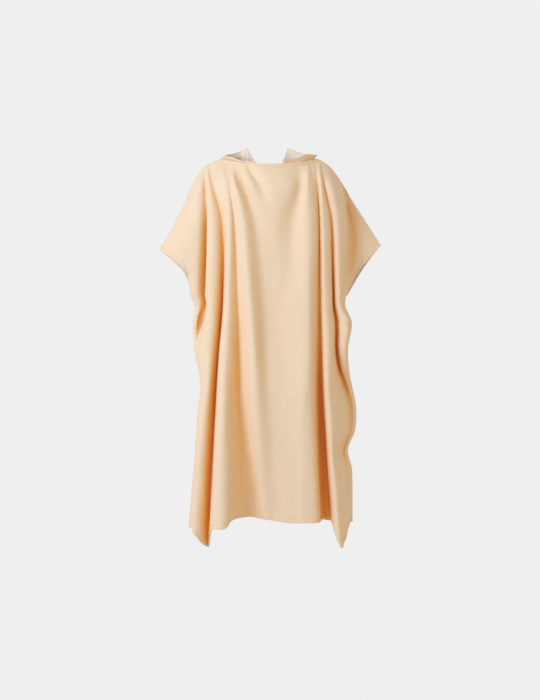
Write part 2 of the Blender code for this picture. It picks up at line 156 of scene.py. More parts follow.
FRONT_FOLDS = (
    Fold("left side", -333, -299, -25, -257, -34, -229, 4, -213, 12, -198, 20, -218, 30, -1088, 0),
    Fold("left cuff", -258, -254, -44, -249, -58, -239, -24, -224, -8, -209, 4, -243, 8, -1095, 0),
    Fold("left sleeve ridge", -222, -220, -53, -214, -72, -221, -38, -224, -20, -213, -14,
         -241, -10, -1096, 0),
    Fold("left sleeve brow", -207, -206, -50, -200, -64, -208, -32, -222, -28, -213, -26,
         -239, -22, -1098, 0),
    Fold("left sleeve valley", -199, -194, -44, -189.5, -52, -197, -20, -219, -34, -212, -36,
         -236, -32, -1100, 2),
    Fold("left side edge", -193.5, -190, -58, -187, -76, -194.5, -64, -214, -48, -214, -52,
         -232, -44, -1103, 0),
    Fold("left side ridge", -190, -184, -65, -171.5, -88, -177, -83, -184, -78, -195, -75,
         -228, -60, -1114, 0),
    Fold("left side brow", -185, -178, -62, -154, -82, -155, -76, -166, -71, -178, -68, -205,
         -52, -1142, 0),
    Fold("left deep valley", -178, -171, -57, -144, -74.5, -143, -56, -155, -53, -164.5, -46,
         -187, -30, -1156, 2),
    Fold("left chest edge", -172, -164, -66, -134, -98, -134.5, -94, -148, -92, -156, -92,
         -173, -98, -1094, 0),
    Fold("left chest ridge", -156, -141, -83, -123, -110, -125, -109, -133, -110, -139, -110,
         -149, -113, -1095, 0),
    Fold("left chest brow", -147, -132, -86, -116, -108, -112, -103, -116, -100, -121, -98,
         -128, -106, -1090, 0),
    Fold("left hem step", -142, -128.5, -86.5, -112, -104.5, -104.5, -96.5, -105.5, -89,
         -106.5, -82, -118, -90, -1070, 0),
    Fold("left soft valley", -136, -124, -88, -107, -102, -96, -91, -92, -76, -88, -62, -62,
         -20, -1067, 0),
    Fold("left centre edge", -130, -117, -89, -97, -110, -84, -103, -79, -91, -75, -77, -44,
         -22, -1070, 0),
    Fold("left centre ridge", -118, -104, -98, -79, -120, -62, -124, -52, -121, -45, -109,
         -18, -36, -1073, 0),
    Fold("left cowl valley", -90, -78, -83, -48, -101, -26, -99, -20, -97, -6, -93, 14, -36,
         -1078, 0),
    Fold("left of centre", -70, -58, -107, -18, -106, 0, -95, 8, -93, 20, -92, 34, -39, -1081, 0),
    Fold("centre", -4, 40, -112, 20, -108, 27, -94, 33, -92, 42, -93, 54, -43, -1083, 0),
    Fold("right cowl valley", 82, 92, -92, 69, -94, 66, -100, 68, -99, 72, -98, 76, -48, -1084, 0),
    Fold("right centre ridge", 111, 104, -106, 103, -115, 105, -111, 104, -108, 100, -103, 94,
         -56, -1082, 0),
    Fold("right centre brow", 122, 121, -94, 130, -104, 121, -102, 122, -98, 123, -92, 142,
         -50, -1082, 0),
    Fold("right deep valley", 129, 132, -83, 138, -88, 139.5, -73, 138, -66, 138, -54, 154,
         -10, -1073, 0),
    Fold("right deep floor", 135, 138, -80, 141.5, -85, 146.5, -68, 149, -56, 153, -34, 178,
         6, -1078, 0),
    Fold("right chest edge", 139, 141, -88, 144.5, -92, 148.5, -82, 152, -77, 158, -73, 185,
         -32, -1094, 0),
    Fold("right chest ridge", 143, 146, -91, 152, -98, 160, -88, 166, -87, 172, -86, 199, -60,
         -1140, 0),
    Fold("right chest brow", 147, 150, -86, 169, -86, 178, -74, 185, -72, 201, -50, 211, -55,
         -1157, 0),
    Fold("right side valley", 153, 154, -79, 176, -73, 185, -46, 197, -36, 234, -2, 220, -44,
         -1136, 2),
    Fold("right side edge", 159, 160, -84, 182, -78, 190, -63, 205, -57, 243, -12, 228, -30,
         -1106, 0),
    Fold("right side ridge", 174, 182, -86, 195, -84, 205, -70, 226, -61, 247, -4, 235, -16,
         -1088, 0),
    Fold("right sleeve fall", 196, 206, -54, 223, -55, 215, -46, 233, -38, 249, 6, 239, -2,
         -1078, 0),
    Fold("right sleeve valley", 214, 224, -2, 233, -9, 222, -24, 231, -22, 250.5, 14, 241, 9,
         -1071, 0),
    Fold("right sleeve ridge", 254, 250, -7, 264, -14, 224, -10, 234, -4, 251, 23, 241, 18,
         -1068, 0),
    Fold("right side", 328, 304, -10, 268, -8, 219, 4, 232, 15, 248, 30, 238, 28, -1066, 0),
)
BACK_FOLDS = (
    Fold("left side", -333, -301, 25, -262, 34, -229, 4, -213, 12, -198, 20, -218, 30, -1088, 0),
    Fold("left back sleeve ridge", -248, -245, 49, -242, 66, -226, 50, -217, 54, -204, 60,
         -224, 74, -1096, 5),
    Fold("left back sleeve valley", -206, -202, 22, -198, 30, -184, 28, -181, 30, -176, 32,
         -190, 40, -1100, 4),
    Fold("left back ridge", -172, -167, 67, -160, 90, -150, 98, -148, 101, -146, 104, -158,
         108, -1088, 5),
    Fold("left back valley", -146, -138, 38, -128, 50, -116, 40, -112, 40, -108, 42, -112, 40,
         -1080, 4),
    Fold("left back soft ridge", -112, -104, 85, -94, 103, -80, 112, -73, 114, -66, 116, -54,
         118, -1070, 5),
    Fold("left back soft valley", -80, -72, 83, -62, 92, -46, 90, -37, 89, -28, 88, -8, 80,
         -1064, 0),
    Fold("back centre", -20, -15, 97, -8, 106, 2, 116, 9, 118, 16, 119, 34, 121, -1062, 0),
    Fold("right back soft valley", 40, 42, 86, 44, 92, 50, 88, 57, 84, 64, 80, 78, 70, -1066, 0),
    Fold("right back soft ridge", 84, 85, 90, 86, 104, 94, 112, 99, 114, 104, 115, 114, 116,
         -1072, 5),
    Fold("right back valley", 124, 125, 40, 126, 48, 132, 36, 137, 35, 142, 34, 148, 36, -1082, 4),
    Fold("right back ridge", 156, 159, 65, 162, 88, 170, 94, 176, 96, 182, 98, 190, 98, -1094, 5),
    Fold("right back sleeve valley", 190, 193, 25, 196, 34, 198, 26, 205, 30, 212, 34, 216,
         44, -1098, 4),
    Fold("right back sleeve ridge", 246, 247, 44, 248, 60, 220, 44, 232, 53, 244, 62, 242, 62,
         -1092, 5),
    Fold("right side", 328, 306, 24, 275, 32, 219, 4, 232, 15, 248, 30, 238, 28, -1066, 0),
)
SIDE_SWINGS = (
    Swing("armhole", -405, 0, -2),
    Swing("seam top", -440, 11, -2),
    Swing("pinch", -486, 0, 15),
    Swing("waist", -560, -5, -3),
    Swing("low waist", -622, 3, -8),
    Swing("hip", -680, 6, -5),
    Swing("thigh", -745, -2, 4),
    Swing("above the knee", -810, -3, 2),
    Swing("knee", -870, -4, -18),
    Swing("calf", -935, -4, -3),
    Swing("hem", -1160, 0, 0),
)
HOOD_RIGHT = (
    HoodSection("front end", 0.0, 34, -72, -16, 36, -74, -7, 0),
    HoodSection("front", 0.45, 77, -52, -9, 79, -49, -1, 0),
    HoodSection("shoulder front", 0.72, 104, -31, 2, 106, -28, 13, 0),
    HoodSection("shoulder", 1.0, 130, -1, 9, 136, -4, 13, 0),
    HoodSection("shoulder back", 1.08, 121, 14, 13, 134, 20, 17, 0),
    HoodSection("shoulder blade", 1.20, 141, 78, -56, 122, 56, 21, 0),
    HoodSection("side", 1.40, 138, 116, -150, 95, 78, 30, 0),
    HoodSection("ear slope", 1.56, 111, 138, -212, 58, 92, 46, 0),
    HoodSection("ear", 1.60, 104, 142, -224, 52, 95, 49, 0),
    HoodSection("ear end", 1.64, 97, 145, -235, 50, 96, 43, 0),
    HoodSection("dip", 1.80, 56, 156, -278, 31, 103, -8, 12),
    HoodSection("centre seam", 2.0, -6, 162, -300, -6, 116, -46, 22),
)
HOOD_LEFT = (
    HoodSection("front end", 0.0, -43, -72, -21, -45, -74, -17, 0),
    HoodSection("front", 0.45, -87, -52, -15, -89, -56, -11, 0),
    HoodSection("shoulder front", 0.72, -115, -33, -4, -118, -37, 2, 0),
    HoodSection("shoulder", 1.0, -141, -1, 6, -145, -4, 9, 0),
    HoodSection("shoulder back", 1.08, -132, 14, 10, -143, 19, 12, 0),
    HoodSection("shoulder blade", 1.20, -152, 76, -56, -135, 54, 23, 0),
    HoodSection("side", 1.40, -150, 114, -154, -115, 82, 31, 0),
    HoodSection("fold", 1.50, -134, 128, -190, -93, 95, 40, 0),
    HoodSection("ear slope", 1.56, -122, 138, -213, -78, 92, 45, 0),
    HoodSection("ear", 1.60, -116, 142, -226, -72, 90, 48, 0),
    HoodSection("ear end", 1.64, -108, 145, -236, -69, 88, 42, 0),
    HoodSection("dip", 1.80, -66, 156, -280, -44, 88, -6, 12),
    HoodSection("centre seam", 2.0, -6, 162, -300, -6, 116, -46, 22),
)

FRONT_CREASES = (
    Crease("left side hollow", ((-203, -425), (-206, -470), (-215, -520), (-230, -558)),
           10.0, -11.0, 0.5),
    Crease("left shoulder pleat", ((-196, -34), (-196, -60), (-194, -90), (-194, -130)),
           7.0, -5.5, 0.45),
    Crease("left collar pleat", ((-183, -16), (-181, -44), (-174, -80)), 6.0, -3.5, 0.45),
    Crease("first neck pleat", ((-110, -22), (-103, -45), (-96, -75), (-84, -115)), 9.0, -4.0, 0.4),
    Crease("second neck pleat", ((-72, -16), (-61, -44), (-38, -73), (-26, -102), (-8, -145)),
           13.0, -17.0, 0.4),
    Crease("outer neck pleat", ((-136, -10), (-134, -35), (-128, -72)), 7.0, -2.5, 0.4),
    Crease("inner neck pleat", ((-121, -16), (-119, -38), (-110, -66)), 5.0, -2.0, 0.4),
    Crease("right neck pleat", ((80, -24), (85, -48), (83, -85), (74, -135)), 10.0, -3.5, 0.45),
    Crease("right shoulder pleat", ((116, -14), (118, -36), (124, -70)), 5.0, -2.5, 0.4),
    Crease("right sleeve head", ((226, -112), (254, -158), (284, -206)), 13.0, 4.0, 0.5),
    Crease("right side tuck", ((246, -504), (231, -496), (215, -490)), 4.5, -4.0, 0.4),
)


@dataclass(frozen=True)
class Cut:
    """Sizes that the four cloth pieces share."""
    cloth: float = 2.6 * MM         # its thickness, woven and terry together
    seam_gap: float = 0.3 * MM
    neck_centre: float = -6.0 * MM
    neck_half: float = 141.0 * MM   # half the neck's width
    neck_front: float = 80.0 * MM   # how far the neck opens to the front
    neck_back: float = 70.0 * MM
    neck_drop: float = 26.0 * MM    # how far its middle hangs below neck_top
    neck_top: float = 3.0 * MM
    neck_round: float = 2.5         # above 2 the neck edge is fuller than a parabola
    armhole_z: float = -420.0 * MM
    hip_z: float = -570.0 * MM
    thigh_z: float = -720.0 * MM
    armhole_drop: float = 0.42      # cloth from the top edge down to the side seams
    length: float = 1.10            # and down to the hem
    levels: tuple[float, ...] = (0.0, 0.085, 0.19, 0.42, 0.57, 0.72, 1.10)
    yoke_down: float = 0.17         # heights as shares of the way to the armhole
    chest_down: float = 0.44
    swing_from: float = 176.0 * MM  # the sides swing from here on, fully at swing_full
    swing_full: float = 214.0 * MM
    hem: float = 10.0 * MM          # from a turned edge to its row of stitches
    hem_rise: float = 0.9 * MM      # how far a turned edge is puffed
    hem_sunk: float = 0.35 * MM     # how far its stitches pull the cloth in


CUT = Cut()


# ---------------------------------------------------------------------------
# Curves and grids
# ---------------------------------------------------------------------------

def smooth_step(value: np.ndarray | float) -> np.ndarray:
    """An S-shaped step from 0 to 1, for values from 0 to 1."""
    clamped = np.clip(value, 0.0, 1.0)
    return clamped * clamped * (3.0 - 2.0 * clamped)


def curves_through(knots: np.ndarray, points: np.ndarray, span: np.ndarray,
                   part: np.ndarray) -> np.ndarray:
    """Smooth curves that pass their points at their knots.

    Args:
        knots: One row of rising knots for each curve.
        points: The curves' points, curves by knots by coordinates.
        span: The knot before each place asked for, curves by places.
        part: How far on from that knot each place is, from 0 to 1.

    Returns:
        The places' points, curves by places by coordinates.
    """
    last = knots.shape[1] - 1
    low = np.maximum(np.arange(last + 1) - 1, 0)
    high = np.minimum(np.arange(last + 1) + 1, last)
    slopes = (points[:, high] - points[:, low]) / (knots[:, high] - knots[:, low])[..., None]
    row = np.arange(len(knots))[:, None]
    width = (knots[row, span + 1] - knots[row, span])[..., None]
    t = part[..., None]
    return (points[row, span] * (2 * t ** 3 - 3 * t ** 2 + 1)
            + points[row, span + 1] * (3 * t ** 2 - 2 * t ** 3)
            + slopes[row, span] * width * (t ** 3 - 2 * t ** 2 + t)
            + slopes[row, span + 1] * width * (t ** 3 - t ** 2))


def curve_at(knots: Sequence[float], points: np.ndarray, where: np.ndarray) -> np.ndarray:
    """One curve, or several on the same knots, at places given by their knot value.

    Args:
        knots: The rising knots.
        points: Curves by knots by coordinates.
        where: The knot values asked for.

    Returns:
        Curves by places by coordinates.
    """
    line = np.asarray(knots, float)
    span = np.clip(np.searchsorted(line, where, side="left") - 1, 0, len(line) - 2)
    part = (where - line[span]) / (line[span + 1] - line[span])
    count = len(points)
    return curves_through(np.tile(line, (count, 1)), points,
                          np.tile(span, (count, 1)), np.tile(part, (count, 1)))


def root_knots(points: np.ndarray) -> np.ndarray:
    """Knots that grow with the root of the distance between points, one row a curve."""
    steps = np.sqrt(np.linalg.norm(np.diff(points, axis=1), axis=2))
    return np.concatenate([np.zeros((len(points), 1)), np.cumsum(steps, axis=1)], axis=1)


def even_places(counts: Sequence[int]) -> tuple[np.ndarray, np.ndarray]:
    """Spans and parts of even steps.

    Args:
        counts: The count of steps for each span.

    Returns:
        The span of each place and its part of the way through it.
    """
    span = np.concatenate([np.full(count, index) for index, count in enumerate(counts)])
    part = np.concatenate([np.arange(count) / count for count in counts])
    return np.append(span, len(counts) - 1), np.append(part, 1.0)


def row_lengths(points: np.ndarray) -> np.ndarray:
    """How far along its row each point of a grid lies, in metres."""
    steps = np.linalg.norm(np.diff(points, axis=1), axis=2)
    return np.concatenate([np.zeros((len(points), 1)), np.cumsum(steps, axis=1)], axis=1)


def even_curves(points: np.ndarray, steps: int) -> np.ndarray:
    """Smooth curves through points, with as many even steps in each span.

    Args:
        points: Curves by knots by coordinates.
        steps: How many steps each span gets.

    Returns:
        Curves by places by coordinates.
    """
    span, part = even_places([steps] * (points.shape[1] - 1))
    count = len(points)
    return curves_through(root_knots(points), points, np.tile(span, (count, 1)),
                          np.tile(part, (count, 1)))


def grid_quads(rows: int, columns: int) -> np.ndarray:
    """Four-sided faces of a grid of points, counted row by row.

    Args:
        rows: Its count of rows.
        columns: Its count of columns.

    Returns:
        Four numbers of points for each face.
    """
    corner = np.arange(rows * columns).reshape(rows, columns)
    return np.stack([corner[:-1, :-1], corner[:-1, 1:], corner[1:, 1:], corner[1:, :-1]],
                    axis=-1).reshape(-1, 4)


def unit(vectors: np.ndarray) -> np.ndarray:
    """The vectors at length 1."""
    return vectors / np.linalg.norm(vectors, axis=-1, keepdims=True)


def put(name: str, data: bpy.types.ID) -> bpy.types.Object:
    """Puts a new object into the scene.

    Args:
        name: The object's name.
        data: Its mesh, light or camera.

    Returns:
        The object.
    """
    made = bpy.data.objects.new(name, data)
    bpy.context.scene.collection.objects.link(made)
    return made


@dataclass(frozen=True)
class Grain:
    """One layer of unevenness: the size of its cells and where in the noise it starts."""
    across: float
    down: float
    across_from: float = 0.0
    down_from: float = 0.0


@dataclass
class ClothNoise:
    """Soft unevenness of cloth, the same at each run."""
    seed: int
    size: int = 64                  # cells each way before it repeats

    def layer(self, grain: Grain, across: np.ndarray, down: np.ndarray) -> np.ndarray:
        """One layer at places in the flat cloth, in metres."""
        return self.at(across / grain.across + grain.across_from,
                       down / grain.down + grain.down_from)

    def at(self, across: np.ndarray, down: np.ndarray) -> np.ndarray:
        """Values from about -1 to 1.

        Args:
            across: Places across, counted in cells.
            down: Places down, counted in cells.

        Returns:
            One value for each place.
        """
        cells = np.random.default_rng(self.seed).uniform(-1.0, 1.0, (self.size, self.size))
        column, row = np.floor(across).astype(int), np.floor(down).astype(int)
        x, y = smooth_step(across - column), smooth_step(down - row)
        left, right = column % self.size, (column + 1) % self.size
        near, far = (cells[line % self.size, left] * (1 - x) + cells[line % self.size, right] * x
                     for line in (row, row + 1))
        return near * (1 - y) + far * y


# ---------------------------------------------------------------------------
# Shader maths
# ---------------------------------------------------------------------------

class Wire:
    """An output socket, with arithmetic on values written as Python operators."""

    def __init__(self, board: Board, socket: bpy.types.NodeSocket) -> None:
        """Keeps the board, so that an operator can add its Math node."""
        self.board = board
        self.socket = socket

    def _math(self, operation: str, first: Any, second: Any) -> Wire:
        """The result of one Math node."""
        return self.board.add("ShaderNodeMath", {"operation": operation},
                              {0: first, 1: second})

    def __add__(self, other: Any) -> Wire:
        """self + other."""
        return self._math("ADD", self, other)

    __radd__ = __add__

    def __sub__(self, other: Any) -> Wire:
        """self - other."""
        return self._math("SUBTRACT", self, other)

    def __rsub__(self, other: Any) -> Wire:
        """other - self."""
        return self._math("SUBTRACT", other, self)

    def __mul__(self, other: Any) -> Wire:
        """self * other."""
        return self._math("MULTIPLY", self, other)

    __rmul__ = __mul__


class Board:
    """The node tree of one material, with its Principled shader."""

    def __init__(self, name: str) -> None:
        """Makes the material, whose tree starts with a shader and an output.

        Args:
            name: The material's name.
        """
        self.material = bpy.data.materials.new(name)
        self.material.use_nodes = True
        self.tree = self.material.node_tree
        self.shader = self.tree.nodes["Principled BSDF"]

    def add(self, kind: str, settings: Mapping[str, Any] | None = None,
            inputs: Mapping[Any, Any] | None = None, output: Any = 0) -> Wire:
        """Adds any node.

        Args:
            kind: The node's type.
            settings: Its properties; "stops" are a ramp's (place, colour) pairs.
            inputs: Values or wires for its sockets, by name or number.
            output: The name or number of the output socket wanted.

        Returns:
            The wire of that output.
        """
        node = self.tree.nodes.new(kind)
        for name, value in (settings or {}).items():
            if name == "stops":
                self._set_stops(node.color_ramp, value)
            else:
                setattr(node, name, value)
        for name, value in (inputs or {}).items():
            self._feed(node.inputs[name], value)
        return Wire(self, node.outputs[output])

    def _set_stops(self, ramp: bpy.types.ColorRamp,
                   stops: Sequence[tuple[float, tuple[float, float, float]]]) -> None:
        """Gives a ramp its stops.

        Args:
            ramp: The ramp.
            stops: Its places with their colours, from 0 to 1.
        """
        while len(ramp.elements) < len(stops):
            ramp.elements.new(1.0)
        for element, (place, colour) in zip(ramp.elements, stops):
            element.position = place
            element.color = (*colour, 1.0)

    def _feed(self, socket: bpy.types.NodeSocket, value: Any) -> None:
        """Links a wire to a socket, or sets the socket's own value.

        Args:
            socket: The input socket.
            value: The wire or the value.
        """
        if isinstance(value, Wire):
            self.tree.links.new(value.socket, socket)
        else:
            socket.default_value = value

    def mix(self, share: Any, first: Any, second: Any, how: str = "MIX") -> Wire:
        """Mixes two colours: the second has that share."""
        return self.add("ShaderNodeMix", {"data_type": "RGBA", "blend_type": how},
                        {0: share, 6: first, 7: second}, 2)

    def noise(self, where: Wire, scale: float, detail: float = 2.0) -> Wire:
        """Noise from 0 to 1 about a place."""
        return self.add("ShaderNodeTexNoise", {},
                        {"Vector": where, "Scale": scale, "Detail": detail}, "Fac")

    def place(self, attribute: str) -> tuple[Wire, Wire, Wire]:
        """A vector attribute of the mesh and its first two parts.

        Args:
            attribute: The attribute's name.

        Returns:
            The vector, its X and its Y.
        """
        vector = self.add("ShaderNodeAttribute", {"attribute_name": attribute}, {}, "Vector")
        across = self.add("ShaderNodeSeparateXYZ", {}, {"Vector": vector}, "X")
        down = self.add("ShaderNodeSeparateXYZ", {}, {"Vector": vector}, "Y")
        return vector, across, down

    def value(self, attribute: str) -> Wire:
        """A number attribute of the mesh."""
        return self.add("ShaderNodeAttribute", {"attribute_name": attribute}, {}, "Fac")

    def wave(self, where: Wire, period: float) -> Wire:
        """A sine from -1 to 1 with a period in metres."""
        turns = where * (2.0 * math.pi / period)
        return self.add("ShaderNodeMath", {"operation": "SINE"}, {0: turns})

    def stretched(self, across: Wire, down: Wire, x: float, y: float) -> Wire:
        """A place with both its parts scaled."""
        return self.add("ShaderNodeCombineXYZ", {}, {"X": across * x, "Y": down * y})

    def bump(self, height: Wire, depth: float, strength: float) -> None:
        """Gives the shader a bumpy normal.

        Args:
            height: The height at each place.
            depth: How many metres a height of 1 is.
            strength: How much of it shows, from 0 to 1.
        """
        normal = self.add("ShaderNodeBump", {},
                          {"Height": height, "Distance": depth, "Strength": strength}, "Normal")
        self._feed(self.shader.inputs["Normal"], normal)

    def finish(self, **sockets: Any) -> bpy.types.Material:
        """Sets the shader's sockets.

        Args:
            sockets: Values or wires, by the sockets' names with _ for each space.

        Returns:
            The finished material.
        """
        for name, value in sockets.items():
            self._feed(self.shader.inputs[name.replace("_", " ")], value)
        return self.material


Colour = tuple[float, float, float]
CLOTH_IOR = 1.4


def with_alpha(colour: Colour) -> tuple[float, float, float, float]:
    """The colour as a socket wants it."""
    return (*colour, 1.0)


@dataclass(frozen=True)
class WovenFace:
    """Flat woven face of the cloth: fine ribs across, with slubs in the yarn. Its colour holds
    painted shade: warmer, darker tints in folds and on slopes turned from the key light.
    """
    name: str = "peach_weave"
    painted_shade_tints: tuple[tuple[float, Colour], ...] = (     # painted shade, by how much of the light comes off other cloth
        (0.04, (0.87, 0.715, 0.54)),                # open cloth
        (0.14, (0.88, 0.67, 0.45)),
        (0.30, (0.89, 0.61, 0.35)),
        (0.50, (0.89, 0.57, 0.25)),
        (0.72, (0.89, 0.47, 0.10)),
        (1.0, (0.82, 0.25, 0.05)),                  # painted shade at the bottom of a deep fold
    )
    upper: float = 0.86             # strength of the painted shade at the top edge
    lower: float = 0.24             # and what each metre down adds to it, so it grows darker towards the hem
    rib: float = 2.4 * MM
    yarn: float = 1.5 * MM
    slub_across: float = 24.0
    slub_down: float = 260.0
    blotch: float = 14.0
    ground: float = 0.91            # lightness without slubs and blotches
    slub_light: float = 0.14
    blotch_light: float = 0.04
    relief: tuple[float, float, float] = (0.5, 0.2, 0.8)    # of ribs, yarns and slubs
    bump_depth: float = 0.25 * MM
    bump_strength: float = 0.5
    roughness: float = 0.85
    slub_roughness: float = 0.1
    sheen: float = 0.15

    def material(self) -> bpy.types.Material:
        """Builds the finish.

        Returns:
            The material.
        """
        board = Board(self.name)
        _, across, down = board.place("cloth_place")
        # painted shade: the base colour turns warmer and darker where the bounced share is high,
        # more so lower down
        painted_shade_strength = self.upper + down * self.lower
        painted_shade_tint = board.add("ShaderNodeValToRGB", {"stops": self.painted_shade_tints},
                         {"Fac": board.value("bounced") * painted_shade_strength}, "Color")
        slubs = board.noise(board.stretched(across, down, self.slub_across, self.slub_down), 1.0)
        blotches = board.noise(board.stretched(across, down, 1.0, 1.0), self.blotch)
        light = self.ground + slubs * self.slub_light + blotches * self.blotch_light
        shade = board.add("ShaderNodeCombineColor", {},
                          {"Red": light, "Green": light, "Blue": light}, "Color")
        colour = board.mix(1.0, painted_shade_tint, shade, "MULTIPLY")
        ribs = board.wave(down, self.rib)
        threads = board.wave(across, self.yarn)
        rib, yarn, slub = self.relief
        height = ribs * rib + threads * yarn + slubs * slub
        board.bump(height, self.bump_depth, self.bump_strength)
        return board.finish(Base_Color=colour,
                            Roughness=self.roughness + slubs * self.slub_roughness,
                            Sheen_Weight=self.sheen, Sheen_Roughness=0.5, IOR=CLOTH_IOR)


@dataclass(frozen=True)
class TerryFace:
    """Looped inner face of the cloth, in cream, with painted shade down between its loops and
    painted orange shade where folds close in.
    """
    name: str = "cream_terry"
    tips: Colour = (0.96, 0.91, 0.83)
    # painted shade down between the loops, lighter at their tips
    shaded_roots: Colour = (0.91, 0.84, 0.73)
    # painted shade: the colour that it turns where folds close in
    deep: Colour = (0.82, 0.42, 0.18)
    loop: float = 2.6 * MM          # from loop to loop
    wander: float = 0.35            # noise that moves the loops, for each loop
    fluff: float = 2.2              # fine noise on the loops, for each loop
    tip_share: float = 0.7
    fluff_share: float = 0.3
    warm_from: float = 0.45         # painted shade share at which it starts to turn orange
    warm_full: float = 0.95
    warmest: float = 0.8
    bump_depth: float = 1.1 * MM
    bump_strength: float = 0.4
    fluff_height: float = 0.5
    roughness: float = 0.95
    sheen: float = 0.25

    def material(self) -> bpy.types.Material:
        """Builds the finish.

        Returns:
            The material.
        """
        board = Board(self.name)
        place, across, down = board.place("cloth_place")
        wander = board.noise(place, self.wander / self.loop)
        loops = board.add("ShaderNodeTexVoronoi", {"feature": "SMOOTH_F1"},
                          {"Vector": board.stretched(across + wander * self.loop, down, 1.0, 1.0),
                           "Scale": 1.0 / self.loop}, "Distance")
        tip = 1.0 - loops
        fluff = board.noise(place, self.fluff / self.loop, 3.0)
        colour = board.mix(tip * self.tip_share + fluff * self.fluff_share,
                           with_alpha(self.shaded_roots), with_alpha(self.tips))
        # painted shade: orange where the cloth closes in
        painted_terry_shade = board.add("ShaderNodeMapRange", {}, {
            "Value": board.value("bounced"), "From Min": self.warm_from,
            "From Max": self.warm_full, "To Min": 0.0, "To Max": self.warmest}, "Result")
        board.bump(tip + fluff * self.fluff_height, self.bump_depth, self.bump_strength)
        return board.finish(Base_Color=board.mix(painted_terry_shade, colour, with_alpha(self.deep)),
                            Roughness=self.roughness, Sheen_Weight=self.sheen, IOR=CLOTH_IOR)


@dataclass(frozen=True)
class ThreadFinish:
    """Sewing thread, twisted."""
    name: str = "peach_thread"
    colour: Colour = (0.88, 0.74, 0.58)
    twist: float = 0.6 * MM
    slant: float = 0.5              # how steeply the plies run round the thread
    shadow: float = 0.8             # brightness between the plies
    shadow_share: float = 0.2       # its share on average, and how much that varies
    shadow_swing: float = 0.15
    bump_depth: float = 0.05 * MM
    bump_strength: float = 0.5
    roughness: float = 0.55

    def material(self) -> bpy.types.Material:
        """Builds the finish.

        Returns:
            The material.
        """
        board = Board(self.name)
        _, across, down = board.place("cloth_place")
        ply = board.wave(across + down * self.slant, self.twist)
        colour = board.mix(ply * self.shadow_swing + self.shadow_share, with_alpha(self.colour),
                           with_alpha(tuple(part * self.shadow for part in self.colour)))
        board.bump(ply, self.bump_depth, self.bump_strength)
        return board.finish(Base_Color=colour, Roughness=self.roughness, IOR=1.45)


@dataclass(frozen=True)
class PaperFinish:
    """Studio paper of the floor and backdrop, evenly lit from behind."""
    name: str = "studio_paper"
    glow: Colour = (0.863, 0.863, 0.863)

    def material(self) -> bpy.types.Material:
        """Builds the finish.

        Returns:
            The material.
        """
        board = Board(self.name)
        return board.finish(Base_Color=with_alpha((0.0, 0.0, 0.0)), Roughness=1.0,
                            Specular_IOR_Level=0.0, Emission_Color=with_alpha(self.glow),
                            Emission_Strength=1.0)


# ---------------------------------------------------------------------------
# Cloth
# ---------------------------------------------------------------------------

class Face(Enum):
    """The two faces of the cloth, with their place among a mesh's materials."""
    WOVEN = 0
    TERRY = 1


class Side(Enum):
    """The garment's two sides, as the sign of X."""
    LEFT = -1
    RIGHT = 1


